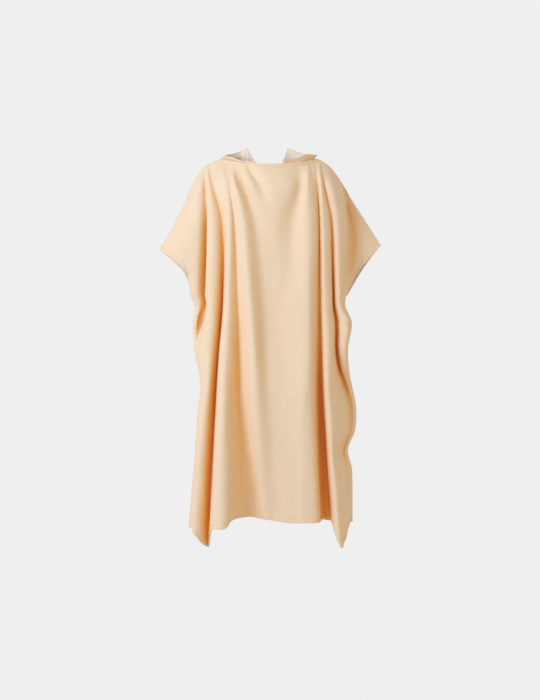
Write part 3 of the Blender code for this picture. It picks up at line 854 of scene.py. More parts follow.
@dataclass
class ClothSheet:
    """A curved sheet of cloth as a grid of points, rows down and columns across.

    Attributes:
        points: The middle of the cloth, rows by columns by 3.
        place: Where each point lies in the flat cloth, across and down, in metres.
        outward: 1 or -1, the side on which the woven face lies.
        rim: The face whose yarn shows along the edges.
        normals: Unit vectors out of the woven face.
        rise: How far the woven face stands up at each point.
        pile: How far the terry face stands up at each point.
        painted_stitch_shade: Painted shade along its rows of stitches and in its puckers, from 0 to
            1.
    """
    points: np.ndarray
    place: np.ndarray
    outward: float
    rim: Face = Face.WOVEN
    normals: np.ndarray = field(init=False)
    rise: np.ndarray = field(init=False)
    pile: np.ndarray = field(init=False)
    painted_stitch_shade: np.ndarray = field(init=False)

    def __post_init__(self) -> None:
        """Works out the normals of the plain sheet."""
        self.find_normals()
        self.rise = np.zeros(self.points.shape[:2])
        self.pile = np.zeros(self.points.shape[:2])
        self.painted_stitch_shade = np.zeros(self.points.shape[:2])

    def find_normals(self) -> None:
        """Works out the normals from the points as they are now."""
        down = np.gradient(self.points, axis=0)
        along = np.gradient(self.points, axis=1)
        cross = np.cross(along, down) * self.outward
        normals = cross / np.maximum(np.linalg.norm(cross, axis=2, keepdims=True), 1e-12)
        for _ in range(2):          # keeps both faces from crossing in a tight fold
            normals[:, 1:-1] = (normals[:, :-2] + 2 * normals[:, 1:-1] + normals[:, 2:]) / 4
        self.normals = unit(normals)

    def square_normals(self, share: np.ndarray, axis: int) -> None:
        """Turns normals square to an axis.

        Args:
            share: How far, for each point, from 0 to 1.
            axis: The axis, 0 for X and 1 for Y.
        """
        flat = self.normals.copy()
        flat[..., axis] *= 1.0 - share
        self.normals = unit(flat)

    def push(self, amount: np.ndarray) -> None:
        """Moves the whole cloth along its normals and finds them anew."""
        self.points = self.points + self.normals * amount[..., None]
        self.find_normals()

    def crease(self, creases: Sequence[Crease]) -> None:
        """Presses creases into the cloth, seen from the front or the back.

        Args:
            creases: The creases, whose paths are x and z in millimetres.
        """
        flat = self.points[..., (0, 2)]
        total = np.zeros(flat.shape[:2])
        for crease in creases:
            path = np.array(crease.path) * MM
            starts = row_lengths(path[None])[0]
            steps = np.linalg.norm(np.diff(path, axis=0), axis=1)
            nearest = np.full(flat.shape[:2], np.inf)
            along = np.zeros(flat.shape[:2])
            for start, end, before, step in zip(path, path[1:], starts, steps):
                part = np.clip(((flat - start) @ (end - start)) / step ** 2, 0.0, 1.0)
                away = np.linalg.norm(flat - start - part[..., None] * (end - start), axis=2)
                closer = away < nearest
                along = np.where(closer, (before + part * step) / starts[-1], along)
                nearest = np.minimum(nearest, away)
            middle = math.log(0.5) / math.log(crease.lean)
            taper = np.sin(np.pi * np.clip(along, 0.0, 1.0) ** middle) ** crease.fade
            total += crease.rise * MM * taper * np.exp(-(nearest / (crease.width * MM)) ** 2)
        self.push(total)

    def face_points(self, face: Face) -> np.ndarray:
        """The points of one face.

        Args:
            face: The face.

        Returns:
            Rows by columns by 3.
        """
        half = CUT.cloth / 2
        if face is Face.WOVEN:
            return self.points + self.normals * (half + self.rise)[..., None]
        return self.points - self.normals * (half + self.pile)[..., None]

    def build(self, name: str, surroundings: Surroundings) -> bpy.types.Object:
        """Makes the closed shell with its two faces and cut edges.

        Args:
            name: The piece's name.
            surroundings: The cloth around it, from which its painted shade is worked out.

        Returns:
            The object, with woven and terry materials still to come.
        """
        rows, columns = self.points.shape[:2]
        count = rows * columns
        corner = np.arange(count).reshape(rows, columns)
        quads = grid_quads(rows, columns)
        rim = np.concatenate([corner[0], corner[1:, -1], corner[-1, -2::-1], corner[-2:0:-1, 0]])
        rim_next = np.roll(rim, -1)
        edge = np.stack([rim_next, rim, rim + count, rim_next + count], axis=-1)
        inner = quads[:, ::-1] + count
        faces = np.concatenate([quads, inner, edge])
        if self.outward > 0:
            faces = faces[:, ::-1]
        woven, terry = self.face_points(Face.WOVEN), self.face_points(Face.TERRY)
        mesh = bpy.data.meshes.new(name)
        mesh.from_pydata(np.concatenate([woven.reshape(-1, 3), terry.reshape(-1, 3)]).tolist(),
                         [], faces.tolist())
        slots = np.full(len(faces), Face.WOVEN.value, np.int32)
        slots[len(quads):2 * len(quads)] = Face.TERRY.value
        slots[2 * len(quads):] = self.rim.value
        mesh.polygons.foreach_set("material_index", slots)
        flat_place = np.concatenate([self.place, np.zeros((rows, columns, 1))], axis=2)
        add_attribute(mesh, "cloth_place", np.concatenate([flat_place.reshape(-1, 3)] * 2))
        # painted shade of both faces, which their finishes turn into colour
        add_attribute(mesh, "bounced", np.concatenate(
            [surroundings.bounced(self, face).ravel() for face in Face]))
        mesh.shade_smooth()
        mesh.update()
        return put(name, mesh)


@dataclass
class Surroundings:
    """All the cloth together, from which the painted shade of its folds is worked out: how far each
    fold is closed in by cloth and how much of the key light reaches it.

    Attributes:
        sheets: The cloth's sheets.
        key: The direction from which the brighter light comes.
        back_key: Its mirror image, so that cloth which faces the back gets painted shade as if lit
            from there.
        key_gain: How much brighter that light is than the rest.
        key_open: The part of it that reaches cloth which faces the front.
        turned_away: Painted shade that a slope without any of it gets besides.
        key_spread: How wide that light is, as a share of its distance.
        reach: How far away cloth still counts.
        clear: How far off the cloth the search starts.
        row_step: It runs on each row_step-th row, and the rest is in between.
        count: How many directions it tries.
        tree: The faces of all the cloth.
        ways: The directions.
    """
    sheets: Sequence[ClothSheet]
    key: tuple[float, float, float] = (-0.69, -0.64, 0.34)
    back_key: tuple[float, float, float] = (-0.69, 0.64, 0.34)
    key_gain: float = 3.5
    key_open: float = 0.64
    turned_away: float = 0.13
    key_spread: float = 0.18
    reach: float = 0.20
    clear: float = 1.0 * MM
    row_step: int = 5
    count: int = 64
    tree: BVHTree = field(init=False)
    ways: np.ndarray = field(init=False)

    def __post_init__(self) -> None:
        """Joins the sheets' woven faces in one tree and spreads the directions."""
        verts, faces = [], []
        for sheet in self.sheets:
            points = sheet.points[::2]
            faces += (grid_quads(*points.shape[:2]) + len(verts)).tolist()
            verts += points.reshape(-1, 3).tolist()
        self.tree = BVHTree.FromPolygons(verts, faces)
        index = np.arange(self.count) + 0.5
        height = 1.0 - 2.0 * index / self.count
        turn = index * math.pi * (3.0 - math.sqrt(5.0))
        ring = np.sqrt(1.0 - height ** 2)
        self.ways = np.stack([ring * np.cos(turn), ring * np.sin(turn), height], axis=-1)

    def bounced(self, sheet: ClothSheet, face: Face) -> np.ndarray:
        """How much painted shade a face gets, from 0 to 1: the share of its light that comes from
        cloth near it, less where the key light falls, and on the woven face the painted shade of
        its stitches.

        Args:
            sheet: The sheet.
            face: Its face.

        Returns:
            One value for each point of the sheet.
        """
        rows = np.unique(np.append(np.arange(0, len(sheet.points), self.row_step),
                                   len(sheet.points) - 1))
        sign = 1.0 if face is Face.WOVEN else -1.0
        normals = sheet.normals[rows] * sign
        starts = sheet.points[rows] + normals * (CUT.cloth / 2 + self.clear)
        direct = np.maximum(self.direct(starts, normals, np.array(self.key)),
                            self.direct(starts, normals, np.array(self.back_key)))
        closed_in = np.empty(normals.shape[:2])
        cast = self.tree.ray_cast
        ways = [Vector(way) for way in self.ways]
        facing = normals @ self.ways.T
        for row, column in np.ndindex(*closed_in.shape):
            start = Vector(starts[row, column])
            weights = facing[row, column]
            closed = total = 0.0
            for way, weight in zip(ways, weights):
                if weight > 0.0:
                    total += weight
                    if cast(start, way, self.reach)[0] is not None:
                        closed += weight
            closed_in[row, column] = closed / total
        # painted shade: closed-in cloth, less where the key light falls, more on slopes turned from
        # it
        found = (closed_in / (1.0 + self.key_gain * direct)
                 + self.turned_away * np.maximum(0.0, 1.0 - direct / self.key_open))
        every = np.arange(len(sheet.points))
        shares = np.stack([np.interp(every, rows, column) for column in found.T], axis=-1)
        return shares + (sheet.painted_stitch_shade if face is Face.WOVEN else 0.0)

    def direct(self, starts: np.ndarray, normals: np.ndarray, key: np.ndarray) -> np.ndarray:
        """The light that comes straight from one direction, from 0 to 1.

        Args:
            starts: Places just off the cloth.
            normals: Unit vectors out of the cloth there.
            key: The direction of the light.

        Returns:
            One value for each place.
        """
        side = np.cross(key, (0.0, 0.0, 1.0)) * self.key_spread
        lamps = [Vector(key + side * turn).normalized() for turn in (-1.0, 0.0, 1.0)]
        lit = np.maximum(0.0, normals @ key)
        for row, column in zip(*np.nonzero(lit)):
            start = Vector(starts[row, column])
            lit[row, column] *= sum(self.tree.ray_cast(start, lamp, self.reach)[0] is None
                                    for lamp in lamps) / len(lamps)
        return lit


def add_attribute(mesh: bpy.types.Mesh, name: str, values: np.ndarray) -> None:
    """Stores one number or vector for each of a mesh's points.

    Args:
        mesh: The mesh.
        name: The attribute's name.
        values: One number or three for each point.
    """
    kind, key = ("FLOAT", "value") if values.ndim == 1 else ("FLOAT_VECTOR", "vector")
    mesh.attributes.new(name, kind, "POINT").data.foreach_set(
        key, np.ascontiguousarray(values, np.float32).ravel())


@dataclass
class Dresser:
    """The finishes of the whole garment, made once."""
    woven: bpy.types.Material = field(init=False)
    terry: bpy.types.Material = field(init=False)
    thread: bpy.types.Material = field(init=False)

    def __post_init__(self) -> None:
        """Builds the finishes."""
        self.woven = WovenFace().material()
        self.terry = TerryFace().material()
        self.thread = ThreadFinish().material()

    def dress_cloth(self, piece: bpy.types.Object) -> None:
        """Gives a shell its woven and its terry face."""
        piece.data.materials.append(self.woven)
        piece.data.materials.append(self.terry)


@dataclass
class StitchRow:
    """A row of stitches along a turned edge, sewn through the cloth.

    Attributes:
        path: Points on the woven face that the row follows.
        normals: Unit vectors out of the cloth at those points.
        pitch: From stitch to stitch.
        gap: From the end of one to the start of the next.
        thickness: Of the thread in its middle.
        bow: How high a stitch stands up in its middle.
        sunk: How deep its ends go into the cloth.
        sides: Faces round the thread.
        rings: Rings of points along a stitch.
        tip: Thickness at its ends, as a share of the thickness.
        swell: What the middle adds to that share.
        ragged: How unevenly they stand up, as a share of their bow.
    """
    path: np.ndarray
    normals: np.ndarray
    pitch: float = 4.2 * MM
    gap: float = 1.1 * MM
    thickness: float = 0.45 * MM
    bow: float = 0.55 * MM
    sunk: float = 0.35 * MM
    sides: int = 6
    rings: int = 6
    tip: float = 0.55
    swell: float = 0.45
    ragged: float = 0.0

    def mesh_data(self) -> tuple[np.ndarray, np.ndarray, np.ndarray]:
        """Works out the stitches as short bent rods.

        Returns:
            Their points, four-sided faces and places along and round the thread.
        """
        along = row_lengths(self.path[None])[0]
        count = int(along[-1] / self.pitch)
        part = np.linspace(0.0, 1.0, self.rings)
        where = (np.arange(count) * self.pitch + self.gap / 2)[:, None] + part * (
            self.pitch - self.gap)
        centre, out = (np.stack([np.interp(where, along, values[:, axis]) for axis in range(3)],
                                axis=-1) for values in (self.path, self.normals))
        out = unit(out)
        ragged = 1.0 + self.ragged * np.random.default_rng(count).uniform(-1.0, 1.0, (count, 1))
        centre += out * (self.bow * ragged * np.sin(np.pi * part) - self.sunk)[..., None]
        across = np.cross(out, unit(centre[:, -1:] - centre[:, :1]))
        angle = 2.0 * np.pi * np.arange(self.sides) / self.sides
        half = self.thickness / 2 * (self.tip + self.swell * np.sin(np.pi * part) ** 0.5)
        points = centre[..., None, :] + half[:, None, None] * (
            across[..., None, :] * np.cos(angle)[:, None] + out[..., None, :]
            * np.sin(angle)[:, None])
        ring, side = np.indices((self.rings - 1, self.sides))
        turn = (side + 1) % self.sides
        quads = np.stack([ring * self.sides + side, ring * self.sides + turn,
                          (ring + 1) * self.sides + turn, (ring + 1) * self.sides + side],
                         axis=-1).reshape(-1, 4)
        quads = quads + (np.arange(count) * self.rings * self.sides)[:, None, None]
        place = np.zeros(points.shape)
        place[..., 0] = where[..., None]
        place[..., 1] = angle * self.thickness / 2
        return points.reshape(-1, 3), quads.reshape(-1, 4), place.reshape(-1, 3)


def sew(name: str, rows: Sequence[StitchRow]) -> bpy.types.Object:
    """Makes one piece of several rows of stitches.

    Args:
        name: The piece's name.
        rows: The rows.

    Returns:
        The object, without its thread's finish.
    """
    points, quads, places = [], [], []
    for row in rows:
        ring_points, faces, place = row.mesh_data()
        quads.append(faces + sum(map(len, points)))
        points.append(ring_points)
        places.append(place)
    mesh = bpy.data.meshes.new(name)
    mesh.from_pydata(np.concatenate(points).tolist(), [], np.concatenate(quads).tolist())
    add_attribute(mesh, "cloth_place", np.concatenate(places))
    mesh.shade_smooth()
    return put(name, mesh)


@dataclass
class Panel:
    """Front or back panel of the poncho, with its half of both sleeves.

    Attributes:
        name: The piece's name.
        node: The solid that it stands for.
        folds: Its ridges and valleys, from the left side to the right.
        neck_depth: How far the neck slit opens into it, below 0 to the front.
        outward: The side of the grid on which the woven face lies.
        creases: Small ridges and troughs pressed into it.
        seed: Where its unevenness starts.
        held_by: The solid that carries it along the shoulders; not used.
        step: Distance between columns and rows.
        turned_neck: True if its neck edge is turned and stitched.
    """
    name: str
    node: str
    folds: Sequence[Fold]
    neck_depth: float
    outward: float
    creases: Sequence[Crease]
    seed: int
    held_by: str
    step: float = 5.83 * MM
    turned_neck: bool = True
    edge_steps: tuple[float, ...] = (0.0, 2.0, 4.0, 6.5, 8.5, 10.0, 11.5, 13.5, 17.0)  # mm
    edge_share: float = 0.6         # most that these may take of the outermost span
    spare: float = 1.12             # columns over what a span's width asks for
    widest_share: float = 0.3       # how much its widest row counts against the mean
    top_fit: float = 25.0 * MM      # how far down the top edge's fit fades out
    seam_reach: float = 12.0 * MM   # how far from a seam the cloth lies square to it
    seam_closes: float = 8.0 * MM   # over which the cuff's end runs into the side seam
    neck_from: float = 6.0 * MM     # the neck edge is where the top edge leaves Y = 0,
    neck_blend: float = 10.0 * MM   # fully so from this much further on
    uneven: float = 0.8 * MM
    calm_side: float = 0.05         # no unevenness at the sides, all of it from here on
    calm_top: float = 0.08
    drape: Grain = Grain(0.022, 0.19, 20, 5)
    ease: Grain = Grain(0.05, 0.05, 7, 9)
    ease_share: float = 0.5
    ripple: Grain = Grain(6 * MM, 15 * MM)
    cuff_ripple: Grain = Grain(15 * MM, 6 * MM, 31, 11)
    pile: Grain = Grain(5 * MM, 5 * MM)
    pile_height: float = 0.25 * MM
    rounding: int = 3               # times that the tips of folds are rounded
    round_from: float = 10.0 * MM   # how far from a side that starts
    round_blend: float = 20.0 * MM
    edge_rise: float = 0.85         # height of a turned edge and how its ripples vary it
    edge_ripple: float = 0.15
    puff_shape: float = 0.6         # below 1 a turned edge is fuller
    puff_edge: float = 0.6          # least height of its outer half
    stitch_width: float = 1.3 * MM  # of the furrow that its stitches pull in
    pucker: float = 1.5 * MM
    pucker_place: float = 1.3       # where the cloth puckers, in hems from the edge
    pucker_reach: float = 0.8
    painted_stitch_shade: float = 0.13            # painted shade along the furrow that its stitches pull in
    painted_stitch_shade_width: float = 1.8 * MM
    painted_stitch_shade_ripple: float = 0.5
    painted_pucker_shade: float = 0.08

    def neck_points(self, x: np.ndarray) -> np.ndarray:
        """Points of the panel's top edge above places along X.

        Args:
            x: The places.

        Returns:
            Points on the neck edge inside, and on the shoulder seam outside.
        """
        away = np.abs(x - CUT.neck_centre)
        bow = 1.0 - np.minimum(1.0, away / CUT.neck_half) ** CUT.neck_round
        neck = np.stack([x, self.neck_depth * bow, CUT.neck_top - CUT.neck_drop * bow], axis=-1)
        shoulder = np.empty_like(neck)
        for side in Side:
            pick = (x - CUT.neck_centre) * side.value >= 0
            line = np.array([(p.left_x, 0.0, p.left_z) if side is Side.LEFT
                             else (p.right_x, 0.0, p.right_z) for p in SHOULDER_LINE]) * MM
            reach = np.abs(line[:, 0] - CUT.neck_centre)
            shoulder[pick] = curve_at(reach, line[None], away[pick])[0]
        return np.where((away < CUT.neck_half)[..., None], neck, shoulder)

    def fold_lines(self) -> tuple[np.ndarray, list[bool]]:
        """The points of each ridge and valley, two lines for one with a crest.

        Returns:
            Lines by levels by 3, and for each step between lines whether it is a crest.
        """
        lines, crests = [], []
        for fold in self.folds:
            sides = (-fold.crest, fold.crest) if fold.crest else (0.0,)
            for sidestep in sides:
                top = self.neck_points(np.array([(fold.top_x + sidestep) * MM]))[0]
                drop = CUT.armhole_z - top[2]
                heights = {"yoke": top[2] + CUT.yoke_down * drop,
                           "chest": top[2] + CUT.chest_down * drop, "arm": CUT.armhole_z,
                           "hip": CUT.hip_z, "thigh": CUT.thigh_z, "hem": fold.hem_z * MM}
                lines.append([top] + [((getattr(fold, f"{level}_x") + sidestep) * MM,
                                       getattr(fold, f"{level}_y") * MM, z)
                                      for level, z in heights.items()])
            crests += [True] * (len(sides) - 1) + [False]
        return np.array(lines, float), crests[:-1]

    def drops(self) -> np.ndarray:
        """How far down the cloth each row lies, with fine rows along both edges.

        Returns:
            The drops in metres.
        """
        fine = np.array(self.edge_steps) * MM
        inner = CUT.length - 2 * fine[-1]
        count = round(inner / self.step)
        middle = fine[-1] + inner * np.arange(1, count) / count
        return np.concatenate([fine, middle, CUT.length - fine[::-1]])

    def lines_at(self, lines: np.ndarray, drops: np.ndarray) -> np.ndarray:
        """The fold lines at each drop, with the cuffs free above the side seams.

        Args:
            lines: Lines by levels by 3.
            drops: How far down the cloth.

        Returns:
            Drops by lines by 3.
        """
        levels = np.array(CUT.levels)
        points = curve_at(levels, lines, drops)
        seam = CUT.levels.index(CUT.armhole_drop)
        above = drops < CUT.armhole_drop
        for edge in (0, -1):
            line = lines[edge][None]
            points[edge, above] = curve_at(levels[:seam + 1], line[:, :seam + 1], drops[above])[0]
            points[edge, ~above] = curve_at(levels[seam:], line[:, seam:], drops[~above])[0]
        return points.transpose(1, 0, 2)

    def column_places(self, rows: np.ndarray, crests: Sequence[bool]
                      ) -> tuple[np.ndarray, np.ndarray]:
        """Spans and parts of the columns, with fine columns along both sides.

        Args:
            rows: The fold points of each row.
            crests: For each step between lines, whether it is a crest.

        Returns:
            Spans and parts, rows by columns.
        """
        widths = np.linalg.norm(np.diff(rows, axis=1), axis=2)
        mean = (widths.mean(axis=0) * (1.0 - self.widest_share)
                + widths.max(axis=0) * self.widest_share)
        counts = [max(3 if crest else 2, round(width * self.spare / self.step))
                  for width, crest in zip(mean, crests)]
        span, part = even_places(counts)
        parts = np.tile(part, (len(rows), 1))
        fine = np.array(self.edge_steps[1:]) * MM
        left, right = (
            fine[None] * np.minimum(1.0, self.edge_share * width / fine[-1])[:, None]
            / width[:, None] for width in (widths[:, 0], widths[:, -1]))
        inside = parts[:, span == 0]
        inside = left[:, -1:] + (1.0 - left[:, -1:]) * inside
        outside = parts[:, span == len(counts) - 1]
        outside = outside * (1.0 - right[:, -1:])
        middle = (span > 0) & (span < len(counts) - 1)
        zero = np.zeros((len(rows), 1))
        new_parts = np.concatenate([zero, left[:, :-1], inside, parts[:, middle], outside,
                                    1.0 - right[:, -2::-1], zero + 1.0], axis=1)
        new_span = np.concatenate([
            np.zeros(left.shape[1] + inside.shape[1], int), span[middle],
            np.full(outside.shape[1] + right.shape[1], len(counts) - 1)])
        return np.tile(new_span, (len(rows), 1)), new_parts

    def swing(self, points: np.ndarray) -> np.ndarray:
        """The points moved sideways as the sides swing in and out.

        Args:
            points: Rows by columns by 3.

        Returns:
            The moved points.
        """
        share = (np.abs(points[..., 0]) - CUT.swing_from) / (CUT.swing_full - CUT.swing_from)
        below = points[..., 2] <= SIDE_SWINGS[0].z * MM
        knots = [-swing.z * MM for swing in SIDE_SWINGS]
        table = np.array([[(s.left,), (s.right,)] for s in SIDE_SWINGS]).transpose(1, 0, 2) * MM
        where = np.clip(-points[..., 2], knots[0], knots[-1]).ravel()
        both = curve_at(knots, table, where)[..., 0].reshape(2, *points.shape[:2])
        shift = np.where(points[..., 0] < 0, both[0], both[1])
        moved = points.copy()
        moved[..., 0] += np.where(below, shift * np.clip(share, 0.0, 1.0), 0.0)
        return moved

    def sheet(self) -> ClothSheet:
        """Works out the panel's cloth.

        Returns:
            The sheet, with folds, creases and turned edges.
        """
        lines, crests = self.fold_lines()
        drops = self.drops()
        rows = self.lines_at(lines, drops)
        span, part = self.column_places(rows, crests)
        points = self.swing(curves_through(root_knots(rows), rows, span, part))
        top_error = self.neck_points(points[0, :, 0]) - points[0]
        points += top_error * np.exp(-(drops / self.top_fit) ** 2)[:, None, None]
        points = self.rounded(points)

        along = row_lengths(points)
        middle = along[:, -1:] / 2
        place = np.stack([along - middle, np.tile(drops[:, None], along.shape[1])], axis=-1)
        sheet = ClothSheet(points, place, self.outward)
        from_side = np.minimum(along, along[:, -1:] - along)
        from_top, from_hem = drops[:, None], CUT.length - drops[:, None]

        noise = ClothNoise(self.seed)
        across, down = place[..., 0], place[..., 1]
        calm = smooth_step(from_side / self.calm_side) * smooth_step(from_top / self.calm_top)
        soft = (noise.layer(self.drape, across, down)
                + self.ease_share * noise.layer(self.ease, across, down))
        sheet.push(self.uneven * soft * calm)
        sheet.crease(self.creases)

        in_seam = smooth_step((drops[:, None] - (CUT.armhole_drop - self.seam_closes))
                              / self.seam_closes)
        at_side = (1.0 - smooth_step(from_side / self.seam_reach)) * in_seam
        at_top = (1.0 - smooth_step(from_top / self.seam_reach)) * np.ones_like(along)
        over_neck = smooth_step((np.abs(points[0, :, 1]) - self.neck_from) / self.neck_blend)
        sheet.square_normals(np.maximum(at_side, at_top * (1.0 - over_neck)), 1)
        gap = math.copysign(CUT.seam_gap / 2, self.neck_depth)
        sheet.points[..., 1] += gap * np.maximum(at_top, at_side)

        free_side = 1.0 - in_seam
        turned = np.maximum(self.turned(from_hem), self.turned(from_side) * free_side)
        if self.turned_neck:
            turned = np.where(from_hem < 0.5, turned,
                              np.maximum(turned, self.turned(from_top) * over_neck))
        ripples = noise.layer(self.ripple, across, down)
        cuff_ripples = noise.layer(self.cuff_ripple, across, down)
        from_edge = np.where(over_neck > 0.5, np.minimum(from_top, from_hem), from_hem)
        from_cuff = np.where(free_side > 0.5, from_side, CUT.length)
        pucker = self.near_stitches(from_edge) * ripples
        pucker = pucker + self.near_stitches(from_cuff) * cuff_ripples
        sheet.rise = (turned * (self.edge_rise + self.edge_ripple * ripples)
                      + self.pucker * pucker)
        row = np.minimum(from_edge, from_cuff) - CUT.hem
        # painted shade along each row of stitches and in the hollows of the puckers
        sheet.painted_stitch_shade = (self.painted_stitch_shade * np.exp(-(row / self.painted_stitch_shade_width) ** 2)
                        * (1.0 - self.painted_stitch_shade_ripple * ripples)
                        + self.painted_pucker_shade * np.maximum(0.0, -pucker))
        sheet.pile = self.pile_height * (1.0 + noise.layer(self.pile, across, down))
        return sheet

    def near_stitches(self, distance: np.ndarray) -> np.ndarray:
        """How much cloth puckers at a distance from a turned edge, from 0 to 1."""
        return np.exp(-((distance - self.pucker_place * CUT.hem)
                        / (self.pucker_reach * CUT.hem)) ** 2)

    def rounded(self, points: np.ndarray) -> np.ndarray:
        """The points with the tips of ridges and valleys rounded, away from both sides.

        Args:
            points: Rows by columns by 3.

        Returns:
            The rounded points.
        """
        along = row_lengths(points)
        from_side = np.minimum(along, along[:, -1:] - along)
        share = smooth_step((from_side - self.round_from) / self.round_blend)[:, 1:-1, None] / 4
        for _ in range(self.rounding):
            before, here, after = points[:, :-2], points[:, 1:-1], points[:, 2:]
            points = np.concatenate([points[:, :1], here + share * (before - 2 * here + after),
                                     points[:, -1:]], axis=1)
        return points

    def turned(self, distance: np.ndarray) -> np.ndarray:
        """Height of a turned edge over the cloth.

        Args:
            distance: How far from that edge.

        Returns:
            Heights, below 0 where its stitches pull the cloth in.
        """
        puff = np.sin(np.pi * np.clip(distance / CUT.hem, 0.0, 1.0)) ** self.puff_shape
        puff = np.where(distance < CUT.hem / 2, np.maximum(puff, self.puff_edge), puff)
        sunk = np.exp(-((distance - CUT.hem) / self.stitch_width) ** 2)
        return CUT.hem_rise * puff * (distance < CUT.hem) - CUT.hem_sunk * sunk

    def stitch_rows(self, sheet: ClothSheet) -> list[StitchRow]:
        """Rows of stitches along the hem, both cuffs and a turned neck edge.

        Args:
            sheet: The panel's finished cloth.

        Returns:
            The rows.
        """
        surface = sheet.face_points(Face.WOVEN)
        drops = sheet.place[:, 0, 1]
        row = self.edge_steps.index(CUT.hem / MM)
        cuff = (drops > 2 * CUT.hem) & (drops < CUT.armhole_drop - CUT.hem)
        inside = slice(2 * row, -2 * row)
        found = [StitchRow(surface[-1 - row, inside], sheet.normals[-1 - row, inside]),
                 StitchRow(surface[cuff, row], sheet.normals[cuff, row]),
                 StitchRow(surface[cuff, -1 - row], sheet.normals[cuff, -1 - row])]
        if self.turned_neck:
            away = np.abs(sheet.points[row, :, 0] - CUT.neck_centre)
            neck = away < CUT.neck_half - 1.5 * CUT.hem
            found.append(StitchRow(surface[row, neck], sheet.normals[row, neck]))
        return found

    def dress(self, piece: bpy.types.Object) -> None:
        """Hides the solid that the piece stands for and gives the piece its slot.

        Args:
            piece: The object made from the cloth.
        """
        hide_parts(self.node)
        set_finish(piece, "body_cloth")


